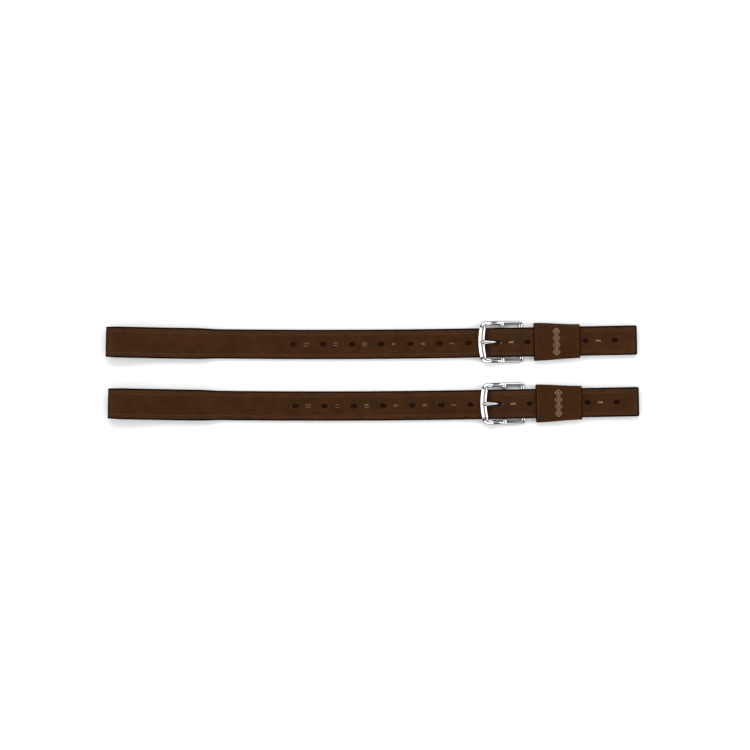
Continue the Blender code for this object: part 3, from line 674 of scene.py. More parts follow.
def add_piece(name, mesh, material, body, slot, nodes=()):
    """Make a finished piece: it rides on a body and stands for its nodes."""
    mesh.name = name
    mesh.materials.clear()
    mesh.materials.append(finish_named(material))
    for face in mesh.polygons:
        face.material_index = 0
    piece = bpy.data.objects.new(name, mesh)
    bpy.context.scene.collection.objects.link(piece)
    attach(piece, body)
    if nodes:
        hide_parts(*nodes)
    return piece


# ---- the strap's course ----------------------------------------------------------------------

def ease(value, start, end):
    """Go smoothly from 0 at start to 1 at end."""
    share = min(max((value - start) / (end - start), 0.0), 1.0)
    return share * share * (3 - 2 * share)


def bell(distance, reach):
    """1 at no distance, and smoothly down to 0 at reach."""
    share = min(abs(distance) / reach, 1.0)
    return (1 - share * share) ** 2


def strap_height(x):
    """Height of the long run's underside above the ground."""
    for (x0, z0), (x1, z1) in zip(STRAP_HEIGHTS, STRAP_HEIGHTS[1:]):
        if x <= x1:
            return z0 + (z1 - z0) * ease(x, x0, x1)
    return STRAP_HEIGHTS[-1][1]


@lru_cache(maxsize=None)
def strap_line(along):
    """The middle of the strap's thickness at a distance from the tip, and its outward normal."""
    if along <= LONG_RUN:
        x = STRAP_LENGTH - along
        step = 0.0002
        tilt = math.atan2(strap_height(x + step) - strap_height(x - step), 2 * step)
        return x, strap_height(x) + STRAP_THICKNESS / 2, -math.sin(tilt), math.cos(tilt)
    if along <= LONG_RUN + FOLD_RUN:
        turn = math.pi / 2 + (along - LONG_RUN) / FOLD_RADIUS
        out_x, out_z = math.cos(turn), math.sin(turn)
        fold_z = STRAP_THICKNESS / 2 + FOLD_RADIUS
        return FOLD_CENTRE + FOLD_RADIUS * out_x, fold_z + FOLD_RADIUS * out_z, out_x, out_z
    return FOLD_CENTRE + along - LONG_RUN - FOLD_RUN, STRAP_THICKNESS / 2, 0.0, -1.0


def bow_line(x):
    """Sideways place and slope of the strap's middle line: bowed up to the buckle."""
    curved = min(x, BOW_END_X)
    slope = TAIL_SLOPE * (curved - BOW_MIDDLE_X) / (BOW_END_X - BOW_MIDDLE_X)
    offset = slope * (curved - BOW_MIDDLE_X) / 2 + TAIL_SLOPE * (x - curved)
    at_hinge = TAIL_SLOPE * ((BOW_END_X - BOW_MIDDLE_X) / 2 + HINGE_X - BOW_END_X)
    return offset - at_hinge, slope


def plan_point(x, y):
    """Move a point of the straight strap sideways on to its slightly bowed line."""
    offset, slope = bow_line(x)
    turn = math.atan(slope)
    if x > BOW_END_X:
        x = BOW_END_X + (x - BOW_END_X) * math.cos(turn)
        offset = bow_line(x)[0]
    return x - y * math.sin(turn), offset + y * math.cos(turn)


def width_share(x):
    """How much wider the strap is at x than along its plain run."""
    flare = ease(x, FLARE_START, LOOP_ROUND_LENGTH)
    flare *= 1 - ease(x, FOLD_BACK_LENGTH - FLARE_END_MARGIN,
                      FOLD_BACK_LENGTH + FOLD_STEP_LENGTH)
    return 1 + FOLD_EXTRA_WIDTH / STRAP_WIDTH * flare


def strap_origin(side):
    """Where a strap's own space starts, from the place of its tongue's hinge in the frame."""
    place = next(Vector(joint["pos_m"]) for joint in frame["joints"]
                 if joint["name"] == side + "_tongue_hinge")
    hinge = tail_line() @ Vector((HINGE_X, BUCKLE_SIDE_SHIFT, 0))
    return Vector((place.x - hinge.x, place.y - hinge.y, 0))


def tail_line():
    """From straight strap space to the turned tail, in strap space."""
    turn = Matrix.Rotation(math.atan(TAIL_SLOPE), 4, "Z")
    start = Matrix.Translation((*plan_point(BOW_END_X, 0), 0))
    return start @ turn @ Matrix.Translation((-BOW_END_X, 0, 0))


def buckle_place(side):
    """From a buckle's straight space to the finished place."""
    shift = Matrix.Translation((0, BUCKLE_SIDE_SHIFT, 0))
    return Matrix.Translation(strap_origin(side)) @ tail_line() @ shift


def keeper_place(side):
    """From a keeper's own space, where x starts at its wide end, to the finished place."""
    start = Matrix.Translation((KEEPER_START_X, 0, 0))
    return Matrix.Translation(strap_origin(side)) @ tail_line() @ start


def course_point(origin, along, across, out):
    """The finished place of a point of the flat strap."""
    x, z, out_x, out_z = strap_line(along)
    x += out * out_x
    flat_x, flat_y = plan_point(x, across * width_share(x))
    return Vector((origin.x + flat_x, origin.y + flat_y, z + out * out_z))


def hole_places():
    """Distances of the hole centres from the tip, the first hole nearest to it."""
    return [TIP_TO_FIRST_HOLE + number * HOLE_PITCH for number in range(HOLE_COUNT)]


def hole_distance(along, across):
    """Distance from the rim of the nearest hole, less than 0 inside it."""
    number = round((along - TIP_TO_FIRST_HOLE) / HOLE_PITCH)
    number = min(max(number, 0), HOLE_COUNT - 1)
    away = along - TIP_TO_FIRST_HOLE - number * HOLE_PITCH
    reach = math.hypot(away / HOLE_LENGTH, across / HOLE_WIDTH) * 2
    return (reach - 1) * HOLE_WIDTH / 2


def skin_lift(along, across, side):
    """Slow unevenness of the skin, and the dip pressed in round each hole."""
    settings = bpy.context.scene.leathers.leather
    seed = SKIN_SEEDS[side]
    slow = noise.noise(Vector((along * 55, across * 70, seed)))
    quick = noise.noise(Vector((along * 210, across * 240, seed + 5)))
    lift = settings.ripple * (slow + 0.45 * quick)
    near = max(hole_distance(along, across), 0.0)
    return lift - HOLE_DIP * math.exp(-(near / HOLE_DIP_REACH) ** 2)


# ---- the strap's layers ----------------------------------------------------------------------

FACE_LOW = 0.45 * MM
LINING_HIGH = -0.55 * MM
CORE_RECESS = 0.25 * MM
CREASE_REACH = 0.32 * MM
STITCH_INSET = 0.0040
STITCH_CHANNEL_REACH = 0.62 * MM
HOLE_DIP = 0.09 * MM
HOLE_DIP_REACH = 1.1 * MM
# Round each punched hole the rim distance is cut short, so that the dark edge colour covers the
# hole walls as painted shade.
HOLE_SHADE_STEEPNESS = 5
HOLE_SHADE_START = 1.1 * MM
SKIN_SEEDS = {"left": 3.0, "right": 11.0}
HIDE_SHIFTS = {"left": 0.0, "right": 0.7}

# Distances from the edge at which the skin has a row of points, close where it is tooled.
ROW_INSETS = tuple(inset * MM for inset in (
    0, 0.05, 0.2, 0.45, 0.7, 1.1, 1.4, 1.55, 1.7, 1.85, 2.0, 2.5, 3.1, 3.3, 3.5, 3.7, 3.9, 4.1,
    4.3, 5.0, 6.2, 7.6, 9.0, 10.4, 11.6))
SLICE_LENGTH = 1.3 * MM
TOOLED_WIDTH = 5 * MM
INNER_SHARES = (-0.995, -0.75, -0.4, 0.4, 0.75, 0.995)

# How a punched rim is rounded: depths below the skin, each with how far the rim flares.
RIM_LEVELS = tuple((depth * MM, flare * MM) for depth, flare in (
    (-0.5, 0.36), (0.0, 0.20), (0.05, 0.12), (0.12, 0.06), (0.24, 0.02), (2.0, 0.0)))


def shoulder_width(along):
    """Half the strap's width, less at the rounded corners of its two ends."""
    away = min(along, CUT_LENGTH - along, TIP_CORNER_RADIUS)
    corner = TIP_CORNER_RADIUS
    return STRAP_WIDTH / 2 - corner + math.sqrt(corner ** 2 - (corner - away) ** 2)


def rim_distance(along, across):
    """Distance of a place on the flat strap from its edge."""
    away = min(along, CUT_LENGTH - along)
    return max(min(shoulder_width(min(max(along, 0.0), CUT_LENGTH)) - abs(across), away), 0.0)


def skin_depth(along, across, seam_end):
    """How far the bevel, the crease and the stitch channel lie below the plain skin."""
    settings = bpy.context.scene.leathers.leather
    rim = rim_distance(along, across)
    radius = settings.shoulder_radius
    depth = settings.crease_depth * bell(rim - settings.crease_inset, CREASE_REACH)
    if rim < radius:
        depth += radius - math.sqrt(radius ** 2 - (radius - rim) ** 2)
    seam_rim = min(STRAP_WIDTH / 2 - abs(across), along, seam_end + STITCH_INSET - along)
    return depth + settings.channel_depth * bell(seam_rim - STITCH_INSET, STITCH_CHANNEL_REACH)


def slice_places(seam_end):
    """Distances from the tip at which the flat strap is sliced, closer at the ends."""
    ends = [inset for inset in ROW_INSETS if inset < TOOLED_WIDTH]
    places = set(ends) | {CUT_LENGTH - inset for inset in ends}
    plain = CUT_LENGTH - 2 * TOOLED_WIDTH
    count = round(plain / SLICE_LENGTH)
    places |= {TOOLED_WIDTH + plain * step / count for step in range(count + 1)}
    places |= {seam_end + shift * MM for shift in (-0.6, -0.3, 0, 0.3, 0.6)}
    return sorted(places)


def seam_end_of(on_face):
    """Where the edge seam, or the shorter one underneath, ends."""
    if on_face:
        return CUT_LENGTH - STITCH_INSET
    return STRAP_LENGTH - FOLD_BACK_LENGTH - FOLD_STEP_LENGTH - 2 * STITCH_INSET


def skin_layer(name, inner, on_face):
    """A flat leather layer: tooled on its outer side, plain on the other."""
    seam_end = seam_end_of(on_face)
    hand = 1 if on_face else -1
    half = STRAP_WIDTH / 2
    shares = [1 - inset / half for inset in ROW_INSETS] + [0.0]
    rows = shares + [-share for share in reversed(shares[:-1])]
    rings = []
    for along in slice_places(seam_end):
        width = shoulder_width(along)
        ring = []
        for share in rows:
            across = share * width
            depth = skin_depth(along, across, seam_end)
            ring.append((along, across, hand * (STRAP_THICKNESS / 2 - depth)))
        ring += [(along, share * width, inner) for share in INNER_SHARES]
        rings.append(ring)
    return loft(name, rings)


def core_layer():
    """The flat webbing core, set a little in from the leathers' edges."""
    low, high = LINING_HIGH, FACE_LOW
    rings = []
    for along in slice_places(seam_end_of(False)):
        along = min(max(along, CORE_RECESS), CUT_LENGTH - CORE_RECESS)
        if rings and along <= rings[-1][0][0]:
            continue
        width = shoulder_width(along) - CORE_RECESS
        ring = [(along, share * width, high) for share in (1, 0.5, 0.2, -0.2, -0.5, -1)]
        ring += [(along, -width - 0.1 * MM, (low + high) / 2)]
        ring += [(along, share * width, low) for share in (-1, -0.5, -0.2, 0.2, 0.5, 1)]
        ring += [(along, width + 0.1 * MM, (low + high) / 2)]
        rings.append(ring)
    return loft("core", rings)


def oval_punch(name, levels, sizes, steps=40):
    """Oval punches at all holes: levels are heights, each with how far its rim flares."""
    shape = bmesh.new()
    for place, (length, width) in zip(hole_places(), sizes):
        rings = []
        for height, flare in levels:
            ring = []
            for step in range(steps):
                turn = 2 * math.pi * step / steps
                x = place + (length / 2 + flare) * math.cos(turn)
                ring.append((x, (width / 2 + flare) * math.sin(turn), height))
            rings.append(ring)
        add_rings(shape, rings)
    return mesh_from(shape, name)


def punched(mesh, hand):
    """Cut the holes through a leather layer, with rims rounded on its outer side."""
    outer = STRAP_THICKNESS / 2
    levels = [(hand * (outer - depth), flare) for depth, flare in RIM_LEVELS]
    sizes = [(HOLE_LENGTH, HOLE_WIDTH)] * HOLE_COUNT
    return combine(mesh, [(oval_punch("punch", levels, sizes), "DIFFERENCE")])


def punched_core(mesh):
    """Pierce the webbing, nearly shut in every hole but the buckled one, as painted shade."""
    # Narrow slits keep the dark webbing across the holes: painted shade.
    sizes = [(0.6 * HOLE_LENGTH, 0.08 * HOLE_WIDTH)] * HOLE_COUNT
    sizes[BUCKLED_HOLE - 1] = (HOLE_LENGTH, HOLE_WIDTH)
    levels = ((-STRAP_THICKNESS, 0.0), (STRAP_THICKNESS, 0.0))
    return combine(mesh, [(oval_punch("pierce", levels, sizes, 28), "DIFFERENCE")])


def lay_strap(mesh, side, lifted, angle=45.0):
    """Lay a flat piece on a strap's course, and keep its flat places for its material.

    lifted says how much of the skin's unevenness a point at some height takes.
    """
    origin = strap_origin(side)
    shift = HIDE_SHIFTS[side]
    flats = [vertex.co.copy() for vertex in mesh.vertices]
    store(mesh, "flat", "FLOAT_VECTOR", [(flat.x + shift, flat.y, flat.z) for flat in flats])
    # Round each hole the rim is cut short: the dark edge colour lies on the hole walls as painted
    # shade.
    rims = [min(rim_distance(flat.x, flat.y), HOLE_SHADE_START
                + HOLE_SHADE_STEEPNESS * max(hole_distance(flat.x, flat.y), 0.0))
            for flat in flats]
    store(mesh, "rim", "FLOAT", rims)

    def place(point):
        out = point.z + lifted(point.z) * skin_lift(point.x, point.y, side)
        return course_point(origin, point.x, point.y, out)

    reshape(mesh, place, angle)


# ---- seams and foil --------------------------------------------------------------------------

SEAM_CORNER_RADIUS = 1.2 * MM
THREAD_RISE = 0.06 * MM
STITCH_DIP = 0.42 * MM
STITCH_TURN = 0.10
NUMBER_GRID = 0.9 * MM
LOZENGE_GRID = 1.2 * MM


def geometry_tree(name, sockets):
    """A geometry tree with a geometry input and output, and named inputs."""
    group = bpy.data.node_groups.new(name, "GeometryNodeTree")
    group.interface.new_socket("Geometry", in_out="OUTPUT", socket_type="NodeSocketGeometry")
    group.interface.new_socket("Geometry", in_out="INPUT", socket_type="NodeSocketGeometry")
    for label, kind in sockets:
        group.interface.new_socket(label, in_out="INPUT", socket_type="NodeSocket" + kind)
    tree = NodeTree(group)
    source = group.nodes.new("NodeGroupInput")
    wires = {socket.name: Wire(tree, socket) for socket in source.outputs if socket.name}
    return tree, wires


def finish_tree(tree, geometry, material):
    """End a tree: instances made real, shaded smooth, and given their material."""
    real = tree.node("GeometryNodeRealizeInstances", inputs={0: geometry})
    painted = tree.node("GeometryNodeSetMaterial", inputs={"Geometry": real, "Material": material})
    target = tree.tree.nodes.new("NodeGroupOutput")
    tree.tree.links.new(painted.socket, target.inputs[0])
    return tree.tree


def stitch_tree():
    """Stitches along a line: each a short thread whose ends dip into the leather."""
    tree, given = geometry_tree("stitches", (
        ("Pitch", "Float"), ("Length", "Float"), ("Width", "Float"), ("Dip", "Float"),
        ("Turn", "Float"), ("Seed", "Int"), ("Material", "Material")))
    line = tree.node("GeometryNodeMeshToCurve", inputs={"Mesh": given["Geometry"]})
    points = tree.node("GeometryNodeResampleCurve", {"mode": "LENGTH"},
                       {"Curve": line, "Length": given["Pitch"]})
    tangent = tree.node("GeometryNodeInputTangent")
    facing = tree.node("FunctionNodeAlignRotationToVector", {"axis": "X", "pivot_axis": "Z"},
                       {"Vector": tangent})
    swing = tree.node("FunctionNodeRandomValue", {"data_type": "FLOAT"},
                      {2: given["Turn"] * 0.4, 3: given["Turn"] * 1.6, "Seed": given["Seed"]}, 1)
    turned_by = tree.vector(0.0, 0.0, swing)
    facing = tree.node("FunctionNodeRotateRotation", {"rotation_space": "LOCAL"},
                       {0: facing, 1: turned_by})
    half = given["Length"] * 0.5
    thread = tree.node("GeometryNodeCurvePrimitiveLine", {"mode": "POINTS"}, {
        "Start": tree.vector(half * -1.0, 0.0, 0.0), "End": tree.vector(half, 0.0, 0.0)})
    thread = tree.node("GeometryNodeResampleCurve", {"mode": "COUNT"},
                       {"Curve": thread, "Count": 7})
    along = tree.parts_of(tree.node("GeometryNodeInputPosition"))[0] / half
    sink = tree.math("POWER", along * along, 2.0) * given["Dip"] * -1.0
    thread = tree.node("GeometryNodeSetPosition",
                       inputs={"Geometry": thread, "Offset": tree.vector(0.0, 0.0, sink)})
    section = tree.node("GeometryNodeCurvePrimitiveCircle", {"mode": "RADIUS"},
                        {"Resolution": 8, "Radius": given["Width"] * 0.5})
    tube = tree.node("GeometryNodeCurveToMesh",
                     inputs={"Curve": thread, "Profile Curve": section, "Fill Caps": True})
    strand = tree.node("GeometryNodeInputPosition")
    tube = tree.node("GeometryNodeStoreNamedAttribute",
                     {"data_type": "FLOAT_VECTOR", "domain": "POINT"},
                     {"Geometry": tube, "Name": "strand", "Value": strand})
    placed = tree.node("GeometryNodeInstanceOnPoints",
                       inputs={"Points": points, "Instance": tube, "Rotation": facing})
    return finish_tree(tree, placed, given["Material"])


def lozenge_tree():
    """A row of open lozenges, each with a dot in its middle."""
    tree, given = geometry_tree("lozenge_row", (
        ("Count", "Int"), ("Length", "Float"), ("Width", "Float"), ("Line", "Float"),
        ("Thickness", "Float"), ("Material", "Material")))
    pitch = given["Length"] / given["Count"]
    start = tree.vector(0.0, (given["Length"] - pitch) * -0.5, 0.0)
    line = tree.node("GeometryNodeMeshLine", {"mode": "OFFSET"}, {
        "Count": given["Count"], "Start Location": start,
        "Offset": tree.vector(0.0, pitch, 0.0)})
    outline = tree.node("GeometryNodeCurvePrimitiveQuadrilateral", {"mode": "KITE"}, {
        "Bottom Height": pitch * 0.45, "Top Height": pitch * 0.45, "Width": given["Width"]})
    section = tree.node("GeometryNodeCurvePrimitiveQuadrilateral", {"mode": "RECTANGLE"}, {
        "Height": given["Thickness"], "Width": given["Line"]})
    lozenge = tree.node("GeometryNodeCurveToMesh", inputs={
        "Curve": outline, "Profile Curve": section, "Fill Caps": True})
    dot = tree.node("GeometryNodeMeshCylinder", inputs={
        "Vertices": 14, "Radius": given["Line"] * 1.2, "Depth": given["Thickness"]})
    join = tree.tree.nodes.new("GeometryNodeJoinGeometry")
    for piece in (lozenge, dot):
        tree.tree.links.new(piece.socket, join.inputs[0])
    row = tree.node("GeometryNodeInstanceOnPoints", inputs={
        "Points": line, "Instance": Wire(tree, join.outputs[0])})
    return finish_tree(tree, row, given["Material"])


def grown(base, tree, values):
    """The plain mesh that a geometry tree makes from a base mesh and its inputs' values."""
    holder = temporary(base)
    change = holder.modifiers.new("grow", "NODES")
    change.node_group = tree
    for item in tree.interface.items_tree:
        if item.in_out == "INPUT" and item.name in values:
            change[item.identifier] = values[item.name]
    made = evaluated(holder, keep=True)
    holder.modifiers.remove(change)
    bpy.data.objects.remove(holder)
    if not made.polygons:
        raise RuntimeError("the tree " + tree.name + " made nothing")
    return made


def line_mesh(points, closed):
    """A mesh of edges through points."""
    pairs = [(place, place + 1) for place in range(len(points) - 1)]
    if closed:
        pairs.append((len(points) - 1, 0))
    mesh = bpy.data.meshes.new("line")
    mesh.from_pydata(points, pairs, [])
    return mesh


def seam_line(on_face, height):
    """The flat seam: along both edges and across both ends, with rounded corners."""
    low, high = STITCH_INSET, seam_end_of(on_face)
    half = STRAP_WIDTH / 2 - STITCH_INSET
    radius = SEAM_CORNER_RADIUS
    points = []
    corners = ((high - radius, half - radius, 0), (low + radius, half - radius, 90),
               (low + radius, radius - half, 180), (high - radius, radius - half, 270))
    for x, y, start in corners:
        for step in range(5):
            turn = math.radians(start + step * 90 / 4)
            points.append((x + radius * math.cos(turn), y + radius * math.sin(turn), height))
    return line_mesh(points, True)


def stitches(base, settings, dip, turn):
    """Stitches along a line of edges, as one plain mesh."""
    tree = bpy.data.node_groups.get("stitches") or stitch_tree()
    return grown(base, tree, {
        "Pitch": settings.pitch, "Length": settings.length, "Width": settings.width,
        "Dip": dip, "Turn": turn, "Seed": settings.seed, "Material": finish_named("waxed_thread")})


def cut_to_grid(mesh, size):
    """Slice a flat mesh both ways, so that it can follow the leather."""
    shape = bmesh.new()
    shape.from_mesh(mesh)
    for axis, normal in ((0, (1, 0, 0)), (1, (0, 1, 0))):
        places = [vertex.co[axis] for vertex in shape.verts]
        start = math.ceil(min(places) / size)
        for step in range(start, math.floor(max(places) / size) + 1):
            everything = shape.verts[:] + shape.edges[:] + shape.faces[:]
            point = [0.0, 0.0, 0.0]
            point[axis] = step * size
            bmesh.ops.bisect_plane(shape, geom=everything, plane_co=point, plane_no=normal)
    shape.to_mesh(mesh)
    shape.free()


def number_mesh(text, height, narrowing, thickness):
    """A number as a thin solid, standing upright round the origin."""
    letters = bpy.data.curves.new("number", "FONT")
    letters.body = text
    letters.align_x = "CENTER"
    letters.align_y = "CENTER"
    letters.extrude = thickness
    letters.offset = -0.004
    letters.resolution_u = 6
    holder = bpy.data.objects.new("number", letters)
    bpy.context.scene.collection.objects.link(holder)
    mesh = evaluated(holder)
    xs = [vertex.co.x for vertex in mesh.vertices]
    ys = [vertex.co.y for vertex in mesh.vertices]
    size = height / (max(ys) - min(ys))
    middle = Vector(((max(xs) + min(xs)) / 2, (max(ys) + min(ys)) / 2, 0))
    for vertex in mesh.vertices:
        away = (vertex.co - middle) * size
        vertex.co = (away.x * narrowing, away.y, math.copysign(thickness, vertex.co.z))
    return mesh


# ---- the buckle ------------------------------------------------------------------------------

RIDGE_FADE_START = FRONT_BAR_X + 6 * MM
RIDGE_FADE_END = HINGE_X - 1 * MM
CHANNEL_SHIFT = 0.06
CHANNEL_REACH = 0.25
NOTCH_REACH = 1.6
NOTCH_LIP_SLOPE = 2.5
HEAD_EXTRA_WIDTH = 0.16


def arm_width(x):
    """Plan width of the frame's side arms."""
    return ARM_WIDTH_FRONT + (ARM_WIDTH_REAR - ARM_WIDTH_FRONT) * ease(
        x, BUCKLE_FRONT_X + FRONT_CORNER_RADIUS, HINGE_X)


def frame_height(x):
    """Height of the frame's centreline: high at the front bar, low behind the hinge."""
    to_hinge = ease(x, BUCKLE_FRONT_X + FRONT_BAR_BOW + FRONT_CORNER_RADIUS, HINGE_X)
    to_rear = ease(x, HINGE_X, REAR_BAR_X)
    return FRONT_BAR_Z + (HINGE_Z - FRONT_BAR_Z) * to_hinge + (REAR_BAR_Z - HINGE_Z) * to_rear


def frame_course():
    """Centreline and width of half the frame, from the front bar's middle to the rear bar's."""
    half = BUCKLE_WIDTH / 2
    corner_y = half - FRONT_CORNER_RADIUS
    near_notch = [step * 0.12 * MM for step in range(18)]
    count = 14
    rest = [near_notch[-1] + (corner_y - near_notch[-1]) * step / count for step in range(1, count)]
    points = [(FRONT_BAR_X + FRONT_BAR_BOW * (y / corner_y) ** 2, y, FRONT_BAR_WIDTH)
              for y in near_notch + rest]
    front_x = BUCKLE_FRONT_X + FRONT_BAR_BOW + FRONT_CORNER_RADIUS
    points += corner((front_x, corner_y), FRONT_CORNER_RADIUS, 180, 90,
                     FRONT_BAR_WIDTH, ARM_WIDTH_FRONT, 18)
    arm_end = BUCKLE_REAR_X - REAR_CORNER_RADIUS
    count = 36
    for step in range(1, count):
        x = front_x + (arm_end - front_x) * step / count
        points.append((x, half - arm_width(x) / 2, arm_width(x)))
    rear_y = half - REAR_CORNER_RADIUS
    points += corner((arm_end, rear_y), REAR_CORNER_RADIUS, 90, 0,
                     ARM_WIDTH_REAR, REAR_BAR_WIDTH, 14)
    count = 10
    points += [(REAR_BAR_X, rear_y * (1 - step / count), REAR_BAR_WIDTH)
               for step in range(1, count + 1)]
    return points


def corner(centre, outer_radius, start, end, width_start, width_end, steps):
    """Centreline points and widths round one corner of the frame."""
    points = []
    for step in range(steps + 1):
        share = step / steps
        turn = math.radians(start + (end - start) * share)
        width = width_start + (width_end - width_start) * share
        reach = outer_radius - width / 2
        points.append(
            (centre[0] + reach * math.cos(turn), centre[1] + reach * math.sin(turn), width))
    return points


def frame_mesh(settings):
    """The frame as one smooth ring: two ridges in front that fade along the arms."""
    half = frame_course()
    course = half + [(x, -y, width) for x, y, width in reversed(half[1:-1])]
    count = len(course)
    power = 2 / settings.fullness
    notch_radius = TONGUE_TIP_RADIUS + GAP
    section = 80
    rings = []
    for place, (x, y, width) in enumerate(course):
        before, after = course[place - 1], course[(place + 1) % count]
        tangent = Vector((after[0] - before[0], after[1] - before[1])).normalized()
        outward = Vector((-tangent.y, tangent.x))
        ridged = 1 - ease(x, RIDGE_FADE_START, RIDGE_FADE_END)
        channel = settings.channel_depth * ridged * width / FRONT_BAR_WIDTH
        ring = []
        for step in range(section):
            turn = 2 * math.pi * step / section
            side, up = math.cos(turn), math.sin(turn)
            side = math.copysign(abs(side) ** power, side)
            up = math.copysign(abs(up) ** power, up)
            rise = up * FRAME_FLATNESS * width / 2
            if up > 0:
                rise += ridged * outer_face(side, rise, FRAME_FLATNESS * width / 2)
                rise -= channel * bell(side + CHANNEL_SHIFT, CHANNEL_REACH)
            point_x = x + outward.x * side * width / 2
            point_y = y + outward.y * side * width / 2
            height = frame_height(x) + rise
            on_bar = x < BUCKLE_FRONT_X + FRONT_BAR_WIDTH
            if on_bar and abs(point_y) < NOTCH_REACH * notch_radius:
                height = min(height, notch_floor(point_y, notch_radius))
            ring.append((point_x, point_y, height))
        rings.append(ring)
    return loft("frame", rings, closed=True)


def outer_face(side, rise, top):
    """How far to lower a place of the rounded section to make its outer slope nearly flat."""
    start, end = 0.12, 0.92
    high, fall, flatness = 0.99, 0.585, 0.8
    if not start < side < end:
        return 0.0
    slope = top * (high - fall * (side - start) / (end - start))
    return flatness * min(slope - rise, 0.0)


def notch_floor(y, radius):
    """Height of the rounded notch for the tongue's tip, flared at its lips."""
    low = FRONT_BAR_TOP - NOTCH_DEPTH
    away = min(abs(y), radius)
    floor = low + radius - math.sqrt(radius ** 2 - away ** 2)
    return floor + NOTCH_LIP_SLOPE * max(abs(y) - radius, 0.0)


def boss_inner_y():
    """Half the free width between the two bosses that hold the centre bar."""
    return BUCKLE_WIDTH / 2 - arm_width(HINGE_X) - BOSS_LENGTH


def buckle_frame(settings):
    """The finished frame with its bosses and their bores."""
    inner = boss_inner_y()
    outer = BUCKLE_WIDTH / 2 - arm_width(HINGE_X) / 3
    radius = SPIGOT_RADIUS + GAP + BOSS_WALL
    lip = 0.5 * MM
    boss = [(0.0, outer), (radius, outer), (radius, inner + lip)]
    boss += [(radius - lip + lip * math.cos(turn), inner + lip - lip * math.sin(turn))
             for turn in (0.4, 0.8, 1.2, math.pi / 2)]
    boss += [(0.0, inner)]
    deep = inner + SPIGOT_LENGTH + GAP
    bore = [(0.0, deep), (SPIGOT_RADIUS + GAP, deep), (SPIGOT_RADIUS + GAP, inner + 0.15 * MM),
            (SPIGOT_RADIUS + GAP + 0.15 * MM, inner - 0.05 * MM), (0.0, inner - 0.05 * MM)]
    tools = []
    for hand in (1, -1):
        for profile, operation in ((boss, "UNION"), (bore, "DIFFERENCE")):
            sided = [(size, hand * along) for size, along in profile]
            mesh = turned("boss", sided, 36)
            mesh.transform(Matrix.Translation((HINGE_X, 0, HINGE_Z)))
            tools.append((mesh, operation))
    return combine(frame_mesh(settings), tools)


def centre_bar_mesh():
    """A turned bar with rounded shoulders and a thinner spigot at each end."""
    shoulder = boss_inner_y() - GAP
    end = boss_inner_y() + SPIGOT_LENGTH
    fillet = 0.25 * MM
    half = [(0.0, end), (SPIGOT_RADIUS - 0.15 * MM, end), (SPIGOT_RADIUS, end - 0.15 * MM),
            (SPIGOT_RADIUS, shoulder), (CENTRE_BAR_RADIUS - fillet, shoulder),
            (CENTRE_BAR_RADIUS - fillet * 0.3, shoulder - fillet * 0.3),
            (CENTRE_BAR_RADIUS, shoulder - fillet)]
    spread = [(CENTRE_BAR_RADIUS, shoulder * share) for share in (0.5, 0.0, -0.5)]
    profile = half + spread + [(radius, -along) for radius, along in reversed(half)]
    return turned("bar", profile, 32)


def over_strap(x, z, radius):
    """A point of the tongue above the strap: raised to lie clear of the leather if need be."""
    face = strap_height(HINGE_X + x) + STRAP_THICKNESS - HINGE_Z
    return x, max(z, face + GAP + radius), radius


def tongue_course():
    """Centreline of the tongue from its eye to its tip, about the hinge: x, z and radius."""
    line_x, line_z, out_x, out_z = strap_line(STRAP_LENGTH - BUCKLED_HOLE_X)
    half = STRAP_THICKNESS / 2
    neck, shaft = TONGUE_NECK_RADIUS, TONGUE_SHAFT_RADIUS
    lean = HOLE_LENGTH / 2 - neck - TONGUE_TO_HOLE_END
    low_x, low_z = line_x - half * out_x - HINGE_X, line_z - half * out_z - HINGE_Z
    high_x, high_z = line_x + half * out_x - HINGE_X - lean, line_z + half * out_z - HINGE_Z
    rest = FRONT_BAR_TOP - NOTCH_DEPTH + GAP + TONGUE_TIP_RADIUS - HINGE_Z
    crest = rest + TONGUE_HEAD_RADIUS - TONGUE_TIP_RADIUS + GAP
    front = FRONT_BAR_X - HINGE_X
    inside = front + FRONT_BAR_WIDTH / 2
    return (
        (-0.75 * EYE_RADIUS, neck, neck),
        (low_x, low_z, neck),
        (high_x, high_z, neck),
        over_strap(high_x - 1.2 * shaft, high_z + 0.9 * shaft, shaft),
        over_strap(high_x - 3 * shaft, crest, 1.1 * shaft),
        (inside + 1.2 * TONGUE_HEAD_LENGTH, crest, 1.28 * shaft),
        (inside + 0.5 * TONGUE_HEAD_LENGTH, crest, TONGUE_HEAD_RADIUS),
        (inside - 0.2 * TONGUE_HEAD_LENGTH, crest, TONGUE_HEAD_RADIUS),
        (inside - 0.6 * TONGUE_HEAD_LENGTH, rest + GAP, 1.2 * TONGUE_TIP_RADIUS),
        (front - FRONT_BAR_WIDTH / 5, rest, TONGUE_TIP_RADIUS),
    )


def smooth_course(points, steps):
    """Points on a smooth line through the given ones."""
    ends = [points[0], *points, points[-1]]
    made = []
    for before, start, end, after in zip(ends, ends[1:], ends[2:], ends[3:]):
        for step in range(steps):
            share = step / steps
            made.append([
                0.5 * (2 * b + (c - a) * share + (2 * a - 5 * b + 4 * c - d) * share ** 2
                       + (3 * b - a - 3 * c + d) * share ** 3)
                for a, b, c, d in zip(before, start, end, after)])
    made.append(list(points[-1]))
    return made


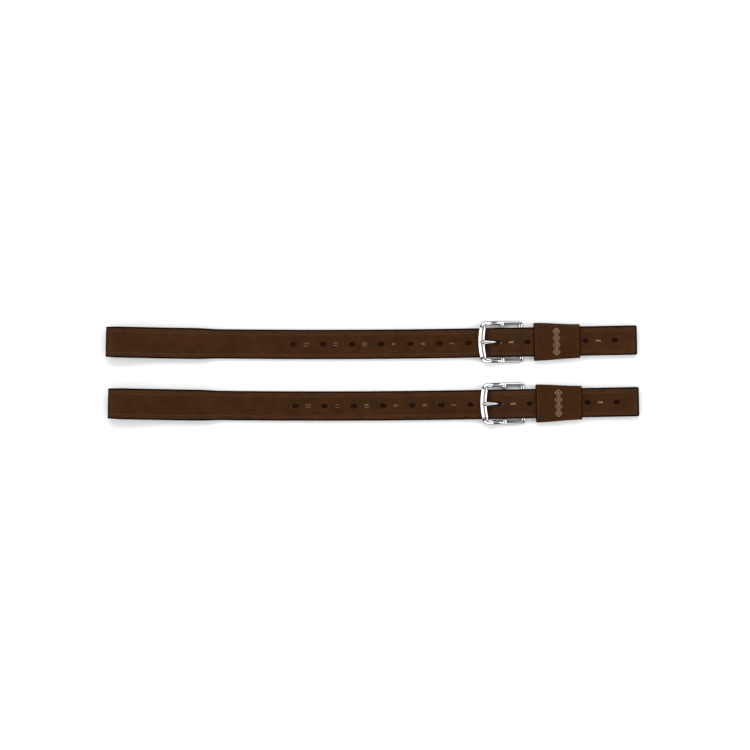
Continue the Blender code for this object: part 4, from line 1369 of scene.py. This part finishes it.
def tongue_mesh():
    """The prong, its rounded tip and the eye round the centre bar."""
    course = smooth_course(tongue_course(), 7)
    tip_x, tip_z, tip_radius = course[-1]
    for turn in (0.35, 0.7, 1.0, 1.25, 1.45):
        course.append([tip_x - tip_radius * math.sin(turn), tip_z, tip_radius * math.cos(turn)])
    steps = 20
    rings = []
    for place, (x, z, radius) in enumerate(course):
        before = course[max(place - 1, 0)]
        after = course[min(place + 1, len(course) - 1)]
        tangent = Vector((after[0] - before[0], after[1] - before[1])).normalized()
        ring = []
        head = ease(radius, TONGUE_NECK_RADIUS, TONGUE_HEAD_RADIUS)
        wide = radius * (1 + HEAD_EXTRA_WIDTH * head)
        for step in range(steps):
            turn = 2 * math.pi * step / steps
            up = radius * math.sin(turn)
            ring.append((x - tangent.y * up, wide * math.cos(turn), z + tangent.x * up))
        rings.append(ring)
    half = TONGUE_EYE_WIDTH / 2
    lip = 0.3 * MM
    eye = [(EYE_RADIUS - lip, half), (EYE_RADIUS - 0.3 * lip, half - 0.3 * lip),
           (EYE_RADIUS, half - lip), (EYE_RADIUS, lip - half),
           (EYE_RADIUS - 0.3 * lip, 0.3 * lip - half), (EYE_RADIUS - lip, -half),
           (0.0, -half), (0.0, half)]
    bore = [(EYE_BORE_RADIUS, 2 * half), (EYE_BORE_RADIUS, -2 * half), (0.0, -2 * half),
            (0.0, 2 * half)]
    prong = loft("tongue", rings)
    return combine(prong, [(turned("eye", eye, 36), "UNION"),
                           (turned("bore", bore, 36), "DIFFERENCE")])


# ---- the keeper ------------------------------------------------------------------------------

KEEPER_SEEDS = {"left": 21.0, "right": 37.0}
KEEPER_WAVE = 0.08 * MM
KEEPER_WAVES_PER_METRE = 120
END_LINE_INSET = 1.7 * MM
END_LINE_REACH = 0.38 * MM
SEAM_SINK = 0.62 * MM
STRAP_EDGE_SINK = 0.12 * MM
STRAP_EDGE_REACH = 0.9 * MM
STRAP_EDGE_Y = STRAP_WIDTH / 2 + 0.3 * MM
PATTERN_PLACE = 0.49
PATTERN_LIFT = 0.03 * MM
CLOSING_SEAM_MARGIN = 2.4 * MM
CLOSING_SEAM_HEIGHT = 0.55 * MM
CLOSING_SEAM_DIP = 0.3 * MM
CLOSING_SEAM_TURN = 0.22


def keeper_half_width(x):
    """Half the keeper's outer width, at a distance from its wide end."""
    share = min(max(x / KEEPER_LENGTH, 0.0), 1.0)
    return (KEEPER_WIDTH_WIDE + (KEEPER_WIDTH_NARROW - KEEPER_WIDTH_WIDE)
            * math.sin(math.pi / 2 * share) ** 2) / 2


def keeper_section():
    """Places round the keeper: a corner's start and turn, or a straight side's share.

    They are close together on the two narrow sides and far apart on the two wide ones.
    """
    places = []
    for start, side_count in ((0, 3), (90, 26), (180, 3), (270, 26)):
        places += [("turn", start, start + 90 * step / 8) for step in range(9)]
        places += [("side", start + 90, step / side_count) for step in range(1, side_count)]
    return places


def keeper_point(place, x, depth):
    """A point of the keeper at a place round it, some depth below its outer skin."""
    kind, start, amount = place
    half, rise = keeper_half_width(x), KEEPER_HEIGHT / 2
    radius = KEEPER_EDGE_RADIUS
    centres = {0: (1, 1), 90: (-1, 1), 180: (-1, -1), 270: (1, -1)}

    def around(quarter, turn):
        hand_y, hand_z = centres[quarter % 360]
        reach = radius - depth
        return Vector((hand_y * (half - radius) + reach * math.cos(turn),
                       rise + hand_z * (rise - radius) + reach * math.sin(turn)))

    if kind == "turn":
        return around(start, math.radians(amount))
    first = around(start - 90, math.radians(start))
    second = around(start, math.radians(start))
    return first.lerp(second, amount)


def keeper_profile(settings):
    """The wall's outline from end to end: places along and depths, as a closed loop."""
    lip = settings.lip_radius
    quarter = [0.0, 0.4, 0.8, 1.2, math.pi / 2]
    outer_end = [(lip - lip * math.sin(turn), lip - lip * math.cos(turn)) for turn in quarter]
    inner_lip = 0.35 * MM
    inner_end = [(inner_lip - inner_lip * math.cos(turn),
                  KEEPER_WALL - inner_lip + inner_lip * math.sin(turn)) for turn in quarter]
    near = outer_end + inner_end
    far = [(KEEPER_LENGTH - x, depth) for x, depth in reversed(near)]
    skin = [x * MM for x in (0.9, 1.3, 1.5, 1.7, 1.9, 2.1, 2.5)]
    steps = 24
    middle = [3.2 * MM + (KEEPER_LENGTH - 6.4 * MM) * step / steps for step in range(steps + 1)]
    outer = skin + middle + [KEEPER_LENGTH - x for x in reversed(skin)]
    inner = [KEEPER_LENGTH - 2 * MM, KEEPER_LENGTH * 0.75, KEEPER_LENGTH / 2,
             KEEPER_LENGTH * 0.25, 2 * MM]
    loop = [(x, 0.0) for x in reversed(outer)] + near
    return loop + [(x, KEEPER_WALL) for x in reversed(inner)] + far


def keeper_wave(x, y, side):
    """Slow unevenness of the keeper's skin: how far it sinks at a place."""
    turns = KEEPER_WAVES_PER_METRE
    return KEEPER_WAVE * noise.noise(Vector((x * turns, y * turns, KEEPER_SEEDS[side])))


def keeper_mesh(settings, side):
    """The keeper's sleeve, with rounded lips and a pressed line near each end.

    The channel over the closing seam and the groove beside each edge of the strap are narrower
    than the distance between the section's places on the wide sides, so the channel doesn't
    show and the groove does only in part.
    """
    seed = KEEPER_SEEDS[side]
    rings, flats, rims = [], [], []
    for place in keeper_section():
        ring = []
        for x, depth in keeper_profile(settings):
            point = keeper_point(place, x, depth)
            from_end = min(x, KEEPER_LENGTH - x)
            skin = 1 - min(depth / KEEPER_WALL, 1.0)
            sink = settings.crease_depth * bell(from_end - END_LINE_INSET, END_LINE_REACH)
            if point.y < KEEPER_HEIGHT / 3:
                sink += SEAM_SINK * bell(point.x, settings.seam_width / 2)
            else:
                sink += keeper_wave(x, point.x, side)
                sink += STRAP_EDGE_SINK * bell(abs(point.x) - STRAP_EDGE_Y, STRAP_EDGE_REACH)
            if depth < 0.01 * MM:
                point = keeper_point(place, x, sink)
            ring.append((x, point.x, point.y))
            rims.append(from_end)
            upper = point.y > 2 * MM
            flats.append((x, point.x + (0.2 if upper else 0.5), seed + point.y * skin))
        rings.append(ring)
    mesh = loft("keeper", rings, closed=True)
    store(mesh, "flat", "FLOAT_VECTOR", flats)
    store(mesh, "rim", "FLOAT", rims)
    return mesh


# ---- operators -------------------------------------------------------------------------------

def add_steel(whole, start, angle, name, body, node):
    """Set a copy of a steel piece on each side, from its own start in the buckle's space."""
    for side in SIDES:
        mesh = whole.copy()
        place = buckle_place(side) @ Matrix.Translation(start)
        reshape(mesh, place.__matmul__, angle)
        add_piece(side + name, mesh, "bright_steel", side + body, "polished_steel",
                  (side + node,))


class LEATHERS_OT_layers(bpy.types.Operator):
    """Build the face leathers, webbing cores and linings of both straps"""

    bl_idname = "leathers.layers"
    bl_label = "Strap layers"

    def execute(self, context):
        face = punched(skin_layer("face", FACE_LOW, True), 1)
        lining = punched(skin_layer("lining", LINING_HIGH, False), -1)
        core = punched_core(core_layer())
        outer = STRAP_THICKNESS / 2
        kinds = (
            ("face_leather", face, "strap_face", "face_leather",
             lambda height: min(max((height - FACE_LOW) / (outer - FACE_LOW), 0.0), 1.0)),
            ("core_webbing", core, "woven_core", "core_webbing", lambda height: 0.0),
            ("lining_leather", lining, "strap_lining", "lining_leather", lambda height: 0.0),
        )
        for side in SIDES:
            for name, flat, finish, slot, lifted in kinds:
                mesh = flat.copy()
                lay_strap(mesh, side, lifted)
                add_piece(side + "_" + name + "_skin", mesh, finish, side + "_strap", slot,
                          (side + "_" + name,))
        return {"FINISHED"}


class LEATHERS_OT_seams(bpy.types.Operator):
    """Stitch both straps round their edges and along the underside"""

    bl_idname = "leathers.seams"
    bl_label = "Strap seams"

    def execute(self, context):
        settings = context.scene.leathers.seam
        level = STRAP_THICKNESS / 2 - 0.5 * settings.width + THREAD_RISE
        top, below = (stitches(seam_line(on_face, level), settings, STITCH_DIP, STITCH_TURN)
                      for on_face in (True, False))
        below.transform(Matrix.Diagonal((1, 1, -1, 1)))
        for side in SIDES:
            for name, flat, share in (("edge_stitching", top, 1.0),
                                      ("underside_stitching", below, 0.0)):
                mesh = flat.copy()
                lay_strap(mesh, side, lambda height, share=share: share, 80.0)
                add_piece(side + "_" + name + "_threads", mesh, "waxed_thread", side + "_strap",
                          "thread", (side + "_" + name,))
        return {"FINISHED"}


class LEATHERS_OT_numbers(bpy.types.Operator):
    """Stamp a foil number by each hole but the first"""

    bl_idname = "leathers.numbers"
    bl_label = "Hole numbers"

    def execute(self, context):
        settings = context.scene.leathers.foil
        outer = STRAP_THICKNESS / 2
        for side in SIDES:
            shape = bmesh.new()
            for number, place in enumerate(hole_places(), 1):
                if number == 1:
                    continue
                text = number_mesh(str(number), settings.number_height,
                                   settings.number_narrowing, settings.thickness)
                centre = place - settings.number_distance
                for vertex in text.vertices:
                    x, y, z = vertex.co
                    vertex.co = (centre + y, x, outer + z)
                shape.from_mesh(text)
            mesh = bpy.data.meshes.new("numbers")
            shape.to_mesh(mesh)
            shape.free()
            cut_to_grid(mesh, NUMBER_GRID)
            lay_strap(mesh, side, lambda height: 1.0)
            add_piece(side + "_hole_numbers", mesh, "pressed_foil", side + "_strap",
                      "face_leather")
        return {"FINISHED"}


class LEATHERS_OT_frames(bpy.types.Operator):
    """Build both buckle frames"""

    bl_idname = "leathers.frames"
    bl_label = "Buckle frames"

    def execute(self, context):
        whole = buckle_frame(context.scene.leathers.metal)
        add_steel(whole, (0, 0, 0), 50.0, "_buckle_ring", "_strap", "_buckle_frame")
        return {"FINISHED"}


class LEATHERS_OT_bars(bpy.types.Operator):
    """Turn both centre bars"""

    bl_idname = "leathers.bars"
    bl_label = "Centre bars"

    def execute(self, context):
        hinge = (HINGE_X, 0, HINGE_Z)
        add_steel(centre_bar_mesh(), hinge, 45.0, "_turned_bar", "_strap", "_centre_bar")
        return {"FINISHED"}


class LEATHERS_OT_tongues(bpy.types.Operator):
    """Build both tongues"""

    bl_idname = "leathers.tongues"
    bl_label = "Tongues"

    def execute(self, context):
        hinge = (HINGE_X, 0, HINGE_Z)
        add_steel(tongue_mesh(), hinge, 50.0, "_prong", "_tongue", "_tongue")
        return {"FINISHED"}


class LEATHERS_OT_keepers(bpy.types.Operator):
    """Build both loose keepers"""

    bl_idname = "leathers.keepers"
    bl_label = "Keepers"

    def execute(self, context):
        settings = context.scene.leathers.keeper
        for side in SIDES:
            mesh = keeper_mesh(settings, side)
            reshape(mesh, keeper_place(side).__matmul__, 60.0)
            add_piece(side + "_keeper_hide", mesh, "keeper_hide", side + "_keeper",
                      "keeper_leather", (side + "_keeper_sleeve",))
        return {"FINISHED"}


class LEATHERS_OT_keeper_seams(bpy.types.Operator):
    """Lay the closing row of stitches inside the underside wall of both keepers"""

    bl_idname = "leathers.keeper_seams"
    bl_label = "Keeper seams"

    def execute(self, context):
        settings = context.scene.leathers.seam
        margin = CLOSING_SEAM_MARGIN
        line = line_mesh([(margin, 0, 0), (KEEPER_LENGTH - margin, 0, 0)], False)
        flat = stitches(line, settings, CLOSING_SEAM_DIP, CLOSING_SEAM_TURN)
        for side in SIDES:
            mesh = flat.copy()
            place = keeper_place(side) @ Matrix.Translation((0, 0, CLOSING_SEAM_HEIGHT))
            reshape(mesh, lambda point: place @ Vector((point.x, point.y, -point.z)), 80.0)
            add_piece(side + "_keeper_threads", mesh, "waxed_thread", side + "_keeper", "thread",
                      (side + "_keeper_stitching",))
        return {"FINISHED"}


class LEATHERS_OT_keeper_pattern(bpy.types.Operator):
    """Stamp a foil row of lozenges across both keepers"""

    bl_idname = "leathers.keeper_pattern"
    bl_label = "Keeper pattern"

    def execute(self, context):
        settings = context.scene.leathers.foil
        base = line_mesh([(0, 0, 0), (0, MM, 0)], False)
        flat = grown(base, lozenge_tree(), {
            "Count": settings.lozenges, "Length": settings.row_length,
            "Width": settings.row_width, "Line": settings.line_width,
            "Thickness": 2 * settings.thickness,
            "Material": finish_named("pressed_foil")})
        cut_to_grid(flat, LOZENGE_GRID)
        middle = PATTERN_PLACE * KEEPER_LENGTH
        for side in SIDES:
            mesh = flat.copy()
            place = keeper_place(side)

            def on_keeper(point):
                x = middle + point.x
                height = KEEPER_HEIGHT + point.z + PATTERN_LIFT - keeper_wave(x, point.y, side)
                return place @ Vector((x, point.y, height))

            reshape(mesh, on_keeper)
            add_piece(side + "_keeper_foil", mesh, "pressed_foil", side + "_keeper",
                      "keeper_leather")
        return {"FINISHED"}


FLOOR_HALF_SIZE = 4.0
FLOOR_DROP = 0.1 * MM
LENS_LENGTH = 200.0
SENSOR_WIDTH = 36.0
CAMERA_SHIFT = (0.0022, -0.0020)

# The lights: name, the setting that holds the power, place and size in metres.
LIGHTS = (
    ("key", "key_power", (0.0, 0.90, 1.00), (1.9, 0.8)),
    ("fill", "fill_power", (0.0, -1.00, 0.95), (1.9, 0.8)),
    ("left_strip", "side_power", (-1.2, 0.0, 0.80), (0.7, 1.5)),
    ("right_strip", "side_power", (1.2, 0.0, 0.80), (0.7, 1.5)),
)


class LEATHERS_OT_stage(bpy.types.Operator):
    """Lay the floor, hang the lights and set the camera"""

    bl_idname = "leathers.stage"
    bl_label = "Stage"

    def execute(self, context):
        settings = context.scene.leathers.stage
        scene = context.scene
        shape = bmesh.new()
        bmesh.ops.create_grid(shape, x_segments=12, y_segments=12, size=FLOOR_HALF_SIZE)
        mesh = mesh_from(shape, "floor")
        mesh.transform(Matrix.Translation((0, 0, -FLOOR_DROP)))
        mesh.materials.append(finish_named("pale_paper"))
        floor = bpy.data.objects.new("floor", mesh)
        scene.collection.objects.link(floor)
        floor.visible_glossy = False

        world = bpy.data.worlds.new("room")
        world.use_nodes = True
        room = world.node_tree.nodes["Background"]
        room.inputs["Color"].default_value = (1.0, 1.0, 1.0, 1.0)
        room.inputs["Strength"].default_value = settings.surround
        scene.world = world

        for name, power, place, size in LIGHTS:
            add_light(name, getattr(settings, power), place, size)

        lens = bpy.data.cameras.new("camera")
        lens.lens = LENS_LENGTH
        lens.sensor_width = SENSOR_WIDTH
        lens.clip_start = 0.01
        lens.clip_end = 20.0
        distance = settings.view_width * lens.lens / lens.sensor_width
        camera = bpy.data.objects.new("camera", lens)
        camera.location = (*CAMERA_SHIFT, distance + STRAP_THICKNESS)
        scene.collection.objects.link(camera)
        scene.camera = camera
        scene.view_settings.view_transform = "Standard"
        return {"FINISHED"}


def add_light(name, power, place, size):
    """A soft rectangular light that faces the middle of the pair."""
    lamp = bpy.data.lights.new(name, "AREA")
    lamp.shape = "RECTANGLE"
    lamp.size, lamp.size_y = size
    lamp.energy = power
    made = bpy.data.objects.new(name, lamp)
    made.location = place
    made.rotation_euler = (-Vector(place)).to_track_quat("-Z", "Y").to_euler()
    made.visible_camera = False
    bpy.context.scene.collection.objects.link(made)


STEPS = (
    LEATHERS_OT_layers, LEATHERS_OT_seams, LEATHERS_OT_numbers, LEATHERS_OT_frames,
    LEATHERS_OT_bars, LEATHERS_OT_tongues, LEATHERS_OT_keepers, LEATHERS_OT_keeper_seams,
    LEATHERS_OT_keeper_pattern, LEATHERS_OT_stage,
)


class LEATHERS_PT_panel(bpy.types.Panel):
    """Lists the pieces and their settings"""

    bl_idname = "LEATHERS_PT_panel"
    bl_label = "Stirrup leathers"
    bl_space_type = "VIEW_3D"
    bl_region_type = "UI"
    bl_category = "Leathers"

    def draw(self, context):
        for step in STEPS:
            self.layout.operator(step.bl_idname)
        settings = context.scene.leathers
        for name in settings.bl_rna.properties.keys():
            if name in ("rna_type", "name"):
                continue
            box = self.layout.box()
            box.label(text=settings.bl_rna.properties[name].name)
            group = getattr(settings, name)
            for key in group.bl_rna.properties.keys():
                if key not in ("rna_type", "name"):
                    box.prop(group, key)


CLASSES = (
    LeatherSettings, SeamSettings, FoilSettings, MetalSettings, KeeperSettings, StageSettings,
    LeathersSettings, *STEPS, LEATHERS_PT_panel,
)


def register():
    for kind in CLASSES:
        bpy.utils.register_class(kind)
    bpy.types.Scene.leathers = PointerProperty(type=LeathersSettings)


def unregister():
    del bpy.types.Scene.leathers
    for kind in reversed(CLASSES):
        bpy.utils.unregister_class(kind)


def main():
    """Build every piece and the stage."""
    register()
    for step in STEPS:
        group, name = step.bl_idname.split(".")
        result = getattr(getattr(bpy.ops, group), name)()
        if result != {"FINISHED"}:
            raise RuntimeError(step.bl_label + " did not finish")


if __name__ == "__main__":
    main()
